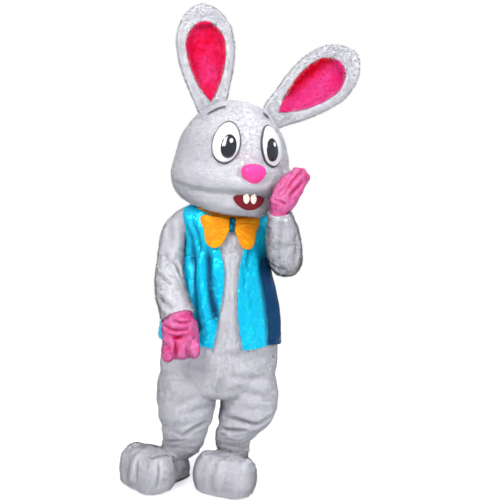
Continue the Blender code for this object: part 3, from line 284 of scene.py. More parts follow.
FOOT_CREASES = {
    Side.RIGHT: [
        Crease(((-0.371, -0.100, 0.166), (-0.372, -0.120, 0.120), (-0.370, -0.124, 0.070), (-0.364, -0.117, 0.024)),
               0.008, 0.006, 0.1),
        Crease(((-0.280, -0.158, 0.168), (-0.275, -0.187, 0.123), (-0.280, -0.191, 0.041)), 0.008, 0.009, 0.1)],
    Side.LEFT: [
        Crease(((-0.033, -0.124, 0.164), (-0.029, -0.146, 0.112), (-0.021, -0.133, 0.020)), 0.007, 0.010, 0.1),
        Crease(((0.056, -0.164, 0.168), (0.065, -0.190, 0.120), (0.074, -0.181, 0.032)), 0.007, 0.010, 0.1)],
}
TORSO_FOLDS = [
    Fold(0.545, 24.0, 0.022, 16.0, 0.0022, -0.003), Fold(0.548, -22.0, 0.022, 16.0, -0.0024, -0.003),
    Fold(0.610, 38.0, 0.016, 20.0, 0.0010, -0.004), Fold(0.628, -34.0, 0.016, 22.0, -0.0012, -0.004),
    Fold(0.690, 6.0, 0.014, 22.0, 0.0003, -0.004), Fold(0.668, 62.0, 0.015, 18.0, -0.0006, -0.004),
    Fold(0.655, -66.0, 0.016, 20.0, 0.0008, -0.004), Fold(0.560, 160.0, 0.024, 18.0, -0.0020, -0.009),
    Fold(0.556, -162.0, 0.024, 18.0, 0.0022, -0.009), Fold(0.640, 178.0, 0.016, 26.0, 0.0002, -0.006),
    Fold(0.690, 142.0, 0.014, 24.0, 0.0005, -0.005), Fold(0.676, -136.0, 0.015, 22.0, -0.0004, -0.005),
]
# A sleeve's creases: station along it, angle round it, reach along in stations, reach round, slope, depth
SLEEVE_FOLDS = {
    Side.RIGHT: [
        Fold(4.60, 20.0, 0.16, 50.0, 0.0040, -0.008), Fold(5.55, 330.0, 0.16, 44.0, -0.0050, -0.007),
        Fold(6.90, 40.0, 0.22, 40.0, -0.0080, -0.006), Fold(3.30, 350.0, 0.22, 36.0, -0.0060, -0.006),
        Fold(2.20, 60.0, 0.22, 46.0, 0.0040, -0.006), Fold(8.20, 10.0, 0.24, 50.0, 0.0040, -0.005)],
    Side.LEFT: [
        Fold(5.30, 0.0, 0.18, 60.0, 0.0020, -0.010), Fold(4.70, 20.0, 0.15, 50.0, 0.0050, -0.008),
        Fold(5.90, 340.0, 0.16, 50.0, -0.0050, -0.008), Fold(2.40, 60.0, 0.20, 46.0, -0.0050, -0.006),
        Fold(4.10, 40.0, 0.20, 40.0, -0.0060, -0.005), Fold(8.60, 20.0, 0.26, 50.0, 0.0050, -0.006)],
}
# The waistcoat's front edges: height, then x of its right and its left front's edge
OPENING = np.array([
    (0.600, -0.064, 0.072), (0.720, -0.062, 0.069), (0.800, -0.052, 0.050), (0.895, -0.041, 0.036),
    (1.057, -0.028, 0.034), (1.170, -0.054, 0.052), (1.260, -0.078, 0.078), (1.340, -0.094, 0.094),
    (1.500, -0.110, 0.110),
])
VEST_FORMS = [
    Fold(1.180, -62.0, 0.200, 9.0, 0.0, 0.010), Fold(1.020, -40.0, 0.260, 9.0, 0.0, 0.011),
    Fold(0.860, -19.0, 0.220, 8.0, 0.0, 0.009), Fold(0.900, 24.0, 0.250, 9.0, 0.0, 0.008),
    Fold(0.860, 62.0, 0.230, 12.0, 0.0, 0.009), Fold(0.880, 122.0, 0.240, 13.0, 0.0, 0.008),
    Fold(0.960, 165.0, 0.280, 12.0, 0.0, 0.009), Fold(0.900, -150.0, 0.260, 13.0, 0.0, 0.008),
    Fold(0.880, -105.0, 0.230, 13.0, 0.0, 0.009),
]
VEST_PLEATS = [
    Pleat(-36.0, 1.20, -11.0, 0.84, 5.5, -0.016), Pleat(-44.0, 1.18, -20.0, 0.82, 4.5, 0.009),
    Pleat(-53.0, 1.18, -27.0, 0.78, 4.6, -0.013), Pleat(-63.0, 1.31, -53.0, 1.08, 4.0, -0.010),
    Pleat(-50.0, 1.30, -40.0, 1.14, 3.6, -0.009), Pleat(-42.0, 0.88, -31.0, 0.70, 5.0, -0.012),
    Pleat(-10.0, 0.88, -30.0, 0.79, 2.6, -0.006), Pleat(-72.0, 1.06, -52.0, 0.72, 5.5, -0.010),
    Pleat(-22.0, 1.12, -12.0, 0.98, 2.6, 0.005), Pleat(33.0, 1.20, 37.0, 0.72, 4.6, 0.008),
    Pleat(46.0, 1.22, 48.0, 0.72, 7.0, -0.012), Pleat(17.0, 1.12, 14.0, 0.98, 2.4, -0.006),
    Pleat(23.0, 1.00, 19.0, 0.90, 2.4, -0.005), Pleat(26.0, 1.24, 22.0, 1.08, 3.2, -0.008),
    Pleat(70.0, 1.10, 62.0, 0.72, 6.0, 0.007), Pleat(84.0, 1.04, 78.0, 0.74, 5.5, -0.009),
    Pleat(104.0, 1.18, 118.0, 0.74, 6.0, -0.012), Pleat(128.0, 1.28, 136.0, 0.86, 5.0, -0.011),
    Pleat(152.0, 1.32, 148.0, 0.76, 6.0, -0.013), Pleat(174.0, 1.26, 180.0, 0.72, 5.0, -0.011),
    Pleat(196.0, 1.30, 188.0, 0.80, 4.6, 0.008), Pleat(210.0, 1.32, 216.0, 0.76, 6.0, -0.013),
    Pleat(234.0, 1.24, 228.0, 0.84, 5.0, -0.010), Pleat(254.0, 1.16, 246.0, 0.74, 6.0, -0.012),
]
# An ear's sections: along it, half width, thickness, depth of the dish, the dish's share of the half width
EAR = np.array([
    (-0.090, 0.050, 0.046, 0.000, 0.12), (0.090, 0.078, 0.056, 0.003, 0.08), (0.170, 0.091, 0.058, 0.010, 0.34),
    (0.290, 0.110, 0.060, 0.017, 0.54), (0.440, 0.129, 0.060, 0.019, 0.64), (0.590, 0.137, 0.060, 0.019, 0.67),
    (0.700, 0.134, 0.058, 0.017, 0.64), (0.780, 0.124, 0.056, 0.012, 0.52), (0.825, 0.115, 0.054, 0.006, 0.26),
    (0.905, 0.091, 0.048, 0.000, 0.20), (0.963, 0.056, 0.038, 0.000, 0.16), (0.993, 0.024, 0.022, 0.000, 0.12),
])
# Round an ear's section: aside, out, and the shares of the dish's width and depth
EAR_SECTION = np.array([
    (1.00, 0.00, 0.0, 0.0), (0.93, 0.66, 0.0, 0.0), (0.0, 0.80, 1.0, 0.0), (0.0, 0.40, 0.60, 1.0),
    (0.0, 0.32, 0.0, 1.25), (0.0, 0.40, -0.60, 1.0), (0.0, 0.80, -1.0, 0.0), (-0.93, 0.66, 0.0, 0.0),
    (-1.00, 0.00, 0.0, 0.0), (-0.84, -0.60, 0.0, 0.0), (-0.45, -0.92, 0.0, 0.0), (0.0, -1.0, 0.0, 0.0),
    (0.45, -0.92, 0.0, 0.0), (0.84, -0.60, 0.0, 0.0),
])
# The row of the section where the side with the dish ends
EAR_DISH_END = 8
EAR_LINING = np.array([
    (0.085, 0.00), (0.105, 0.10), (0.170, 0.32), (0.290, 0.53), (0.440, 0.63), (0.590, 0.66), (0.690, 0.62),
    (0.762, 0.50), (0.803, 0.35), (0.826, 0.19), (0.834, 0.00),
])
EAR_BASES = {Side.RIGHT: Vector((-0.112, 0.010, 1.800)), Side.LEFT: Vector((0.172, -0.010, 1.792))}
EAR_TIPS = {Side.RIGHT: Vector((-0.184, 0.040, 2.284)), Side.LEFT: Vector((0.545, -0.070, 2.112))}
EAR_FACING = Vector((-0.10, -1.0, 0.0))
# Each foot's ankle, and how far it points to the costume's right of straight ahead
FOOT_PLACES = {Side.RIGHT: (-0.202, 0.038, 54.0), Side.LEFT: (0.115, 0.006, 28.0)}
FOOT_BODY = np.array([
    (-0.090, 0.044, 0.080), (-0.074, 0.068, 0.102), (-0.035, 0.082, 0.124), (0.020, 0.090, 0.150),
    (0.075, 0.110, 0.164), (0.125, 0.110, 0.150), (0.150, 0.080, 0.110),
])
FOOT_BELOW = 0.030
TOES = [(-0.096, 0.148), (0.0, 0.168), (0.096, 0.148)]
TOE_SIZE = (0.059, 0.084)
TOE_RINGS = np.array([(0.0125, 0.82), (0.050, 0.99), (0.100, 0.98), (0.138, 0.86), (0.160, 0.62)])
TOE_TOP = 0.178
# Angles, in radians, of the rings that round a toe's top
TOE_ROUNDING = (0.4, 0.8, 1.2, 1.45)
# Stuffing that fills the toes' roots: along the foot, half width, height
FOOT_BED = np.array([
    (0.030, 0.096, 0.156), (0.090, 0.132, 0.176), (0.145, 0.150, 0.182), (0.195, 0.144, 0.174),
    (0.228, 0.112, 0.142), (0.240, 0.070, 0.104),
])
BOW_OUTLINE = np.array([
    (0.010, 0.020), (0.040, 0.030), (0.090, 0.034), (0.126, 0.038), (0.144, 0.024), (0.141, 0.000),
    (0.128, -0.026), (0.124, -0.050), (0.116, -0.086), (0.094, -0.106), (0.066, -0.106), (0.044, -0.088),
    (0.026, -0.052), (0.012, -0.020),
])
BOW_CENTRE = np.array([-0.006, -0.156, 1.284])
BOW_CURVE = 1.5


# Forms worked out from the tables

def through(rows: np.ndarray, steps: int, closed: bool = False) -> np.ndarray:
    """More rows on a smooth curve through those of a table.

    Args:
        rows: The table, a row for each place.
        steps: How many rows each gap becomes.
        closed: Whether the last row runs on to the first.

    Returns:
        The longer table.
    """
    if closed:
        ends = np.vstack([rows[-1:], rows, rows[:2]])
    else:
        ends = np.vstack([2 * rows[0] - rows[1], rows, 2 * rows[-1] - rows[-2]])
    a, b, c, d = (ends[i:len(ends) - 3 + i, None, :] for i in range(4))
    t = (np.arange(steps) / steps)[None, :, None]
    made = 0.5 * (2 * b + (c - a) * t + (2 * a - 5 * b + 4 * c - d) * t ** 2 + (3 * b - a - 3 * c + d) * t ** 3)
    made = made.reshape(-1, rows.shape[1])
    return made if closed else np.vstack([made, rows[-1:]])


def even_angles(count: int) -> np.ndarray:
    """Angles all round, in degrees from -180."""
    return -180.0 + (np.arange(count) + 0.5) * 360.0 / count


def upright(rows: np.ndarray, angles: np.ndarray) -> np.ndarray:
    """Level rings from sections.

    Args:
        rows: Sections with height, x, y, half width, front and back depth.
        angles: The azimuths of a ring's points, in degrees.

    Returns:
        Points, rings by angles by 3.
    """
    turn = np.radians(angles)[None, :]
    height, x, y, half, front, back = (rows[:, i, None] for i in range(6))
    depth = np.where(np.cos(turn) > 0, front, back)
    return np.stack(np.broadcast_arrays(x + half * np.sin(turn), y - depth * np.cos(turn), height), axis=2)


def tube(stations: np.ndarray, count: int) -> np.ndarray:
    """Rings across a centreline, turned from one to the next without twist.

    Args:
        stations: Rows of x, y, height and the two half widths.
        count: How many points a ring has.

    Returns:
        Points, rings by count by 3.
    """
    grid = np.zeros((len(stations), count, 3))
    side = Vector((0, 1, 0))
    turn = 2 * np.pi * np.arange(count) / count
    for i, (*centre, wide, deep) in enumerate(stations):
        ahead = Vector(stations[min(i + 1, len(stations) - 1), :3] - stations[max(i - 1, 0), :3]).normalized()
        side = (side - ahead * side.dot(ahead)).normalized()
        across = ahead.cross(side)
        grid[i] = (np.array(centre) + np.outer(np.cos(turn) * wide, side) + np.outer(np.sin(turn) * deep, across))
    return grid


def normals_of(grid: np.ndarray, wrap: bool = True) -> np.ndarray:
    """Unit normals of a grid of points.

    Args:
        grid: Rings of points.
        wrap: Whether each ring is closed. An open grid's normals point away from the Z axis.

    Returns:
        A normal for each point.
    """
    around = np.roll(grid, -1, axis=1) - np.roll(grid, 1, axis=1) if wrap else np.gradient(grid, axis=1)
    normals = np.cross(around, np.gradient(grid, axis=0))
    middle = grid.mean(axis=1, keepdims=True) if wrap else np.array([0.0, 0.02, 0.0])
    outward = (grid - middle) * (1.0 if wrap else np.array([1.0, 1.0, 0.0]))
    if (outward * normals).sum() < 0:
        normals = -normals
    return normals / np.maximum(np.linalg.norm(normals, axis=2, keepdims=True), 1e-9)


def moved_out(grid: np.ndarray, distance: float | np.ndarray, wrap: bool = True) -> np.ndarray:
    """The grid moved out along its normals, by one distance or by one for each point."""
    return grid + normals_of(grid, wrap) * (distance if np.isscalar(distance) else distance[:, :, None])


def relief(heights: np.ndarray, angles: np.ndarray, folds: Sequence[Fold]) -> np.ndarray:
    """How far each point moves out for a table of folds. A crease has a plump ridge over its upper side.

    Args:
        heights: Each point's height or place along the form.
        angles: Each point's angle round it, in degrees.
        folds: The folds.

    Returns:
        The distances.
    """
    moved = np.zeros(np.broadcast(heights, angles).shape)
    for fold in folds:
        aside = (angles - fold.azimuth + 180.0) % 360.0 - 180.0
        above = (heights - fold.height - fold.slope * aside) / fold.tall
        reach = np.exp(-(aside / fold.wide) ** 2)
        moved += fold.depth * np.exp(-above ** 2) * reach
        if fold.depth < 0:
            moved -= 0.5 * fold.depth * np.exp(-((above - 2.0) / 1.4) ** 2) * reach
    return moved


def lumps(points: np.ndarray, size: float, amount: float, seed: int) -> np.ndarray:
    """Slow unevenness at points.

    Args:
        points: Points in the last axis.
        size: How far apart the lumps are, in metres.
        amount: The largest move.
        seed: Which unevenness.

    Returns:
        A distance for each point.
    """
    shift = Vector((seed * 3.7, seed * 1.3, seed * 5.1))
    flat = points.reshape(-1, 3) / size
    values = [noise.noise(Vector(p) + shift) for p in flat]
    return np.array(values).reshape(points.shape[:-1]) * amount * 1.6


def rounded_end(grid: np.ndarray, tall: float = 0.85) -> np.ndarray:
    """The grid with rings that close its last end in a dome, as tall as a share of its radius."""
    middle = grid[-1].mean(axis=0)
    out = middle - grid[-2].mean(axis=0)
    size = np.linalg.norm(grid[-1] - middle, axis=1).mean()
    out = out / np.linalg.norm(out) * size
    rings = [middle + (grid[-1] - middle) * math.cos(t) + out * tall * math.sin(t) for t in np.linspace(0.2, 1.45, 6)]
    return np.concatenate([grid, np.array(rings)])


def run_on(grid: np.ndarray, distance: float) -> np.ndarray:
    """The grid with one more ring past its last."""
    out = grid[-1].mean(axis=0) - grid[-2].mean(axis=0)
    return np.concatenate([grid, (grid[-1] + out / np.linalg.norm(out) * distance)[None]])


def tangents_near(points: np.ndarray, stations: np.ndarray) -> np.ndarray:
    """The direction of the nearest stretch of a centreline at each point."""
    path = through(stations[:, :3], 4)
    ahead = np.gradient(path, axis=0)
    nearest = np.argmin(((points[:, None, :] - path[None]) ** 2).sum(axis=2), axis=1)
    return ahead[nearest] / np.linalg.norm(ahead[nearest], axis=1, keepdims=True)


# Meshes

def add_object(name: str, points: np.ndarray, faces: list) -> Object:
    """A smooth mesh object at the origin.

    Args:
        name: Its name.
        points: Its points, in heights above the floor.
        faces: Its faces.

    Returns:
        The object.
    """
    points = np.asarray(points, float).reshape(-1, 3)
    mesh = bpy.data.meshes.new(name)
    mesh.from_pydata((points - (0, 0, SHOULDER)).tolist(), [], faces)
    mesh.shade_smooth()
    made = bpy.data.objects.new(name, mesh)
    bpy.context.scene.collection.objects.link(made)
    return made


def quads(rows: int, columns: int, wrap: bool, start: int = 0) -> list:
    """The faces of a grid of points, from one index on."""
    last = columns if wrap else columns - 1
    return [(start + r * columns + k, start + r * columns + (k + 1) % columns,
             start + (r + 1) * columns + (k + 1) % columns, start + (r + 1) * columns + k)
            for r in range(rows - 1) for k in range(last)]


def faced_out(obj: Object) -> Object:
    """The object with its faces turned outwards, as a closed form."""
    shape = bmesh.new()
    shape.from_mesh(obj.data)
    bmesh.ops.recalc_face_normals(shape, faces=shape.faces)
    if shape.calc_volume(signed=True) < 0.0:
        bmesh.ops.reverse_faces(shape, faces=shape.faces)
    shape.to_mesh(obj.data)
    shape.free()
    obj.data.shade_smooth()
    return obj


def welded(obj: Object) -> Object:
    """The object with points that lie together made one, and its faces turned outwards."""
    shape = bmesh.new()
    shape.from_mesh(obj.data)
    bmesh.ops.remove_doubles(shape, verts=shape.verts, dist=1e-5)
    shape.to_mesh(obj.data)
    shape.free()
    return faced_out(obj)


def closed_form(name: str, grid: np.ndarray) -> Object:
    """A closed form through the rings of a grid, with a pole at each end."""
    rings, count = grid.shape[:2]
    points = np.vstack([grid.reshape(-1, 3), grid[0].mean(axis=0), grid[-1].mean(axis=0)])
    faces = quads(rings, count, True)
    low, high = rings * count, rings * count + 1
    for k in range(count):
        faces.append((low, (k + 1) % count, k))
        faces.append((high, (rings - 1) * count + k, (rings - 1) * count + (k + 1) % count))
    return faced_out(add_object(name, points, faces))


def open_wall(name: str, grid: np.ndarray, wall: float, wrap: bool = True, capped: bool = False,
              facing: np.ndarray | None = None) -> Object:
    """A cloth wall whose outer face is a grid, with closed edges.

    Args:
        name: Its name.
        grid: The outer face.
        wall: The thickness, which goes inwards.
        wrap: Whether the rings are closed.
        capped: Whether the last ring closes over in a pole.
        facing: The one way that the whole outer face is moved from, in place of each point's own.

    Returns:
        The wall.
    """
    rows, columns = grid.shape[:2]
    inner = moved_out(grid, -wall, wrap) if facing is None else grid - facing * wall
    points = np.vstack([grid.reshape(-1, 3), inner.reshape(-1, 3)])
    under = rows * columns
    faces = quads(rows, columns, wrap) + [face[::-1] for face in quads(rows, columns, wrap, under)]
    edge = [(k, (k + 1) % columns) for k in range(columns if wrap else columns - 1)]
    rims = edge if capped else edge + [((rows - 1) * columns + b, (rows - 1) * columns + a) for a, b in edge]
    if not wrap:
        rims += [((r + 1) * columns, r * columns) for r in range(rows - 1)]
        rims += [(r * columns + columns - 1, (r + 1) * columns + columns - 1) for r in range(rows - 1)]
    faces += [(b, a, under + a, under + b) for a, b in rims]
    if capped:
        points = np.vstack([points, grid[-1].mean(axis=0), inner[-1].mean(axis=0)])
        last = (rows - 1) * columns
        for k in range(columns):
            after = (k + 1) % columns
            faces.append((2 * under, last + k, last + after))
            faces.append((2 * under + 1, under + last + after, under + last + k))
    return faced_out(add_object(name, points, faces))


def settled(obj: Object) -> Object:
    """The object with its modifiers worked into its mesh."""
    graph = bpy.context.evaluated_depsgraph_get()
    mesh = bpy.data.meshes.new_from_object(obj.evaluated_get(graph))
    obj.modifiers.clear()
    obj.data = mesh
    mesh.shade_smooth()
    return obj


def fused(name: str, forms: Sequence[Object], voxel: float, smoothing: int) -> Object:
    """One skin round several closed forms.

    Args:
        name: The skin's name.
        forms: The forms, which are used up.
        voxel: The remesh's size.
        smoothing: How often the skin is smoothed.

    Returns:
        The skin.
    """
    shape = bmesh.new()
    for form in forms:
        shape.from_mesh(form.data)
        bpy.data.objects.remove(form)
    mesh = bpy.data.meshes.new(name)
    shape.to_mesh(mesh)
    shape.free()
    skin = bpy.data.objects.new(name, mesh)
    bpy.context.scene.collection.objects.link(skin)
    remesh = skin.modifiers.new("fuse", "REMESH")
    remesh.mode = "VOXEL"
    remesh.voxel_size = voxel
    smooth = skin.modifiers.new("smooth", "SMOOTH")
    smooth.factor = 0.5
    smooth.iterations = smoothing
    return settled(skin)


def points_of(obj: Object) -> tuple[np.ndarray, np.ndarray]:
    """An object's points in heights above the floor, and its normals."""
    count = len(obj.data.vertices)
    points, normals = np.zeros(count * 3, np.float32), np.zeros(count * 3, np.float32)
    obj.data.vertices.foreach_get("co", points)
    obj.data.vertices.foreach_get("normal", normals)
    return points.reshape(-1, 3).astype(float) + (0, 0, SHOULDER), normals.reshape(-1, 3).astype(float)


def move_points(obj: Object, distance: np.ndarray) -> None:
    """Moves each point of an object out by its own distance."""
    points, normals = points_of(obj)
    made = points + normals * distance[:, None] - (0, 0, SHOULDER)
    obj.data.vertices.foreach_set("co", made.astype(np.float32).ravel())
    obj.data.update()


def cut(obj: Object, place: Sequence[float], out: Sequence[float], side: Callable[[Vector], bool]) -> None:
    """Cuts an object by a plane and takes away what lies outside it.

    Args:
        obj: The object.
        place: A point of the plane, in heights above the floor.
        out: The direction of what goes.
        side: Which faces the plane meets, by their middles.
    """
    shape = bmesh.new()
    shape.from_mesh(obj.data)
    lift = Vector((0, 0, SHOULDER))
    faces = [f for f in shape.faces if side(f.calc_center_median() + lift)]
    parts = list({e for f in faces for e in f.edges}) + list({v for f in faces for v in f.verts}) + faces
    bmesh.ops.bisect_plane(shape, geom=parts, plane_co=Vector(place) - lift, plane_no=Vector(out), clear_outer=True)
    shape.to_mesh(obj.data)
    shape.free()
    obj.data.shade_smooth()


def pressed(points: np.ndarray, creases: Sequence[Crease]) -> tuple[np.ndarray, np.ndarray]:
    """What creases do at points.

    Args:
        points: The points.
        creases: The creases.

    Returns:
        How far each point moves out, and how deep in a crease it lies, from 0 to 1, which sets its painted shade.
    """
    moved, painted_shade = np.zeros(len(points)), np.zeros(len(points))
    for crease in creases:
        path = through(np.array(crease.path), 8)
        middle, reach = path.mean(axis=0), np.ptp(path, axis=0).max() / 2 + 6 * crease.wide
        near = np.flatnonzero((np.abs(points - middle) < reach).all(axis=1))
        if not len(near):
            continue
        gaps = np.linalg.norm(points[near, None, :] - path[None], axis=2)
        nearest = gaps.argmin(axis=1)
        away = gaps[np.arange(len(near)), nearest] / crease.wide
        ends = np.sin(np.pi * (0.12 + 0.76 * nearest / (len(path) - 1)))
        trough = np.exp(-away ** 2) * ends
        moved[near] += crease.deep * (crease.swell * np.exp(-((away - 2.3) / 1.1) ** 2) * ends - trough)
        # Points deep in a crease get painted shade, more for deeper creases
        painted_shade[near] = np.maximum(painted_shade[near], trough * min(1.0, crease.deep / 0.012) ** 2)
    return moved, painted_shade


def creased(obj: Object, creases: Sequence[Crease]) -> np.ndarray:
    """Presses creases into a skin and tells how deep in one each point lies, as its painted shade."""
    moved, painted_shade = pressed(points_of(obj)[0], creases)
    move_points(obj, moved)
    return painted_shade


def paint_shade(obj: Object, depth: np.ndarray) -> None:
    """Keeps on a skin how much painted shade each point gets, from 0 to 1, for its material and its pile."""
    attribute = obj.data.attributes.get("deep") or obj.data.attributes.new("deep", "FLOAT", "POINT")
    attribute.data.foreach_set("value", np.asarray(depth, np.float32).ravel())


def thickened(obj: Object, wall: float) -> Object:
    """An open skin given a wall inwards."""
    solidify = obj.modifiers.new("wall", "SOLIDIFY")
    solidify.thickness = wall
    solidify.offset = -1.0
    return settled(obj)


# Finishes

class Tree:
    """Adds nodes to one tree and joins them."""

    def __init__(self, tree: bpy.types.NodeTree) -> None:
        """Keeps the tree."""
        self.tree = tree

    def add(self, kind: str, inputs: dict | None = None, **settings) -> bpy.types.Node:
        """A new node.

        Args:
            kind: Its type.
            inputs: A value or an output for each named input.
            **settings: Its properties.

        Returns:
            The node.
        """
        node = self.tree.nodes.new(kind)
        for name, value in settings.items():
            setattr(node, name, value)
        for name, value in (inputs or {}).items():
            socket = node.inputs[name] if isinstance(name, int) else next(
                s for s in node.inputs if s.name == name and s.enabled)
            if isinstance(value, bpy.types.NodeSocket):
                self.join(value, socket)
            else:
                socket.default_value = value
        return node

    def join(self, start: bpy.types.NodeSocket, end: bpy.types.NodeSocket) -> None:
        """Joins an output to an input."""
        self.tree.links.new(start, end)

    def out(self, node: bpy.types.Node, name: str) -> bpy.types.NodeSocket:
        """A node's shown output of a name."""
        return next(s for s in node.outputs if s.name == name and s.enabled)


def new_group(name: str, kind: str, inputs: dict, outputs: dict) -> tuple[Tree, bpy.types.Node, bpy.types.Node]:
    """An empty node group.

    Args:
        name: The group's name.
        kind: The tree's type.
        inputs: Socket types and default values by name.
        outputs: Socket types by name.

    Returns:
        Its tree, its input node and its output node.
    """
    group = bpy.data.node_groups.new(name, kind)
    for label, (socket, value) in inputs.items():
        made = group.interface.new_socket(label, in_out="INPUT", socket_type=socket)
        if value is not None:
            made.default_value = value
    for label, socket in outputs.items():
        group.interface.new_socket(label, in_out="OUTPUT", socket_type=socket)
    tree = Tree(group)
    return tree, tree.add("NodeGroupInput"), tree.add("NodeGroupOutput")


def mottle_group() -> None:
    """The uneven tone of pile cloth: soft patches, finer tufts, and the height of the tufts."""
    tree, given, result = new_group(
        "mottle", "ShaderNodeTree",
        {"Light": ("NodeSocketColor", (1, 1, 1, 1)), "Shade": ("NodeSocketColor", (0.7, 0.7, 0.7, 1)),
         "Patch": ("NodeSocketFloat", 9.0), "Tuft": ("NodeSocketFloat", 95.0)},
        {"Color": "NodeSocketColor", "Height": "NodeSocketFloat"})
    place = tree.add("ShaderNodeTexCoord").outputs["Object"]
    patch = tree.add("ShaderNodeTexNoise", {"Vector": place, "Scale": given.outputs["Patch"], "Detail": 4.0})
    tuft = tree.add("ShaderNodeTexNoise", {"Vector": place, "Scale": given.outputs["Tuft"], "Detail": 3.0})
    slow = tree.add("ShaderNodeMapRange", {"Value": patch.outputs["Fac"], "From Min": 0.38, "From Max": 0.66})
    fine = tree.add("ShaderNodeMapRange", {"Value": tuft.outputs["Fac"], "From Min": 0.40, "From Max": 0.70,
                                           "To Max": 0.45})
    both = tree.add("ShaderNodeMath", {0: slow.outputs["Result"], 1: fine.outputs["Result"]}, operation="MAXIMUM")
    mix = tree.add("ShaderNodeMix", {"Factor": both.outputs["Value"]}, data_type="RGBA")
    tree.join(given.outputs["Light"], mix.inputs[6])
    tree.join(given.outputs["Shade"], mix.inputs[7])
    tree.join(mix.outputs[2], result.inputs["Color"])
    tree.join(tuft.outputs["Fac"], result.inputs["Height"])


def crinkle_group() -> None:
    """The small sharp crinkles of thin cloth: a mask of their crests, whose valleys the materials paint darker as
    painted shade, and their height.
    """
    tree, given, result = new_group(
        "crinkle", "ShaderNodeTree",
        {"Scale": ("NodeSocketFloat", 24.0), "Stretch": ("NodeSocketVector", (1.0, 1.0, 0.5)),
         "Grain": ("NodeSocketFloat", 900.0)},
        {"Mask": "NodeSocketFloat", "Height": "NodeSocketFloat"})
    place = tree.add("ShaderNodeTexCoord").outputs["Object"]
    drawn = tree.add("ShaderNodeMapping", {"Vector": place, "Scale": given.outputs["Stretch"]})
    slow = tree.add("ShaderNodeTexNoise", {"Vector": drawn.outputs["Vector"], "Scale": given.outputs["Scale"],
                                           "Detail": 5.0, "Roughness": 0.62, "Distortion": 0.8})
    ridge = tree.add("ShaderNodeMath", {0: slow.outputs["Fac"], 1: 0.5}, operation="SUBTRACT")
    ridge = tree.add("ShaderNodeMath", {0: ridge.outputs["Value"]}, operation="ABSOLUTE")
    crest = tree.add("ShaderNodeMapRange", {"Value": ridge.outputs["Value"], "From Max": 0.16})
    grain = tree.add("ShaderNodeTexNoise", {"Vector": place, "Scale": given.outputs["Grain"], "Detail": 1.0})
    height = tree.add("ShaderNodeMath", {0: grain.outputs["Fac"], 1: 0.06, 2: crest.outputs["Result"]},
                      operation="MULTIPLY_ADD")
    tree.join(crest.outputs["Result"], result.inputs["Mask"])
    tree.join(height.outputs["Value"], result.inputs["Height"])


def weave_group() -> None:
    """A plain weave's height from two crossed waves."""
    tree, given, result = new_group(
        "weave", "ShaderNodeTree", {"Threads": ("NodeSocketFloat", 420.0)}, {"Height": "NodeSocketFloat"})
    place = tree.add("ShaderNodeTexCoord").outputs["Object"]
    warp = tree.add("ShaderNodeTexWave", {"Vector": place, "Scale": given.outputs["Threads"]},
                    bands_direction="X")
    weft = tree.add("ShaderNodeTexWave", {"Vector": place, "Scale": given.outputs["Threads"]},
                    bands_direction="Z")
    both = tree.add("ShaderNodeMath", {0: warp.outputs["Fac"], 1: weft.outputs["Fac"]}, operation="MULTIPLY")
    tree.join(both.outputs["Value"], result.inputs["Height"])


def mixed(tree: Tree, share: bpy.types.NodeSocket, low: Rgb | bpy.types.NodeSocket,
          high: Rgb | bpy.types.NodeSocket) -> bpy.types.NodeSocket:
    """A colour between two, by a share.

    Args:
        tree: The material's tree.
        share: The share of the second.
        low: The first colour, or an output.
        high: The second.

    Returns:
        The mix's output.
    """
    node = tree.add("ShaderNodeMix", {"Factor": share}, data_type="RGBA")
    for index, value in ((6, low), (7, high)):
        if isinstance(value, bpy.types.NodeSocket):
            tree.join(value, node.inputs[index])
        else:
            node.inputs[index].default_value = (*value, 1.0)
    return node.outputs[2]


@dataclass(frozen=True)
class Finish:
    """What every finish says of its shader's plain numbers."""

    name: str
    roughness: float

    def start(self, name: str, **numbers: float) -> tuple[bpy.types.Material, Tree, bpy.types.Node]:
        """A material with its Principled shader set.

        Args:
            name: The material's name.
            **numbers: Socket values, with underscores for the spaces of their names.

        Returns:
            The material, its tree and its shader.
        """
        look = bpy.data.materials.new(name)
        look.use_nodes = True
        shader = look.node_tree.nodes["Principled BSDF"]
        shader.inputs["Roughness"].default_value = self.roughness
        for label, value in numbers.items():
            shader.inputs[label.replace("_", " ")].default_value = value
        return look, Tree(look.node_tree), shader

    def bump(self, tree: Tree, shader: bpy.types.Node, height: bpy.types.NodeSocket, deep: float) -> None:
        """Raises the surface by a height, in metres at most."""
        node = tree.add("ShaderNodeBump", {"Height": height, "Distance": deep, "Strength": 1.0})
        tree.join(node.outputs["Normal"], shader.inputs["Normal"])

    def group(self, tree: Tree, name: str, inputs: dict) -> bpy.types.Node:
        """Places a shared group in a material."""
        node = tree.add("ShaderNodeGroup", node_tree=bpy.data.node_groups[name])
        for label, value in inputs.items():
            node.inputs[label].default_value = value
        return node


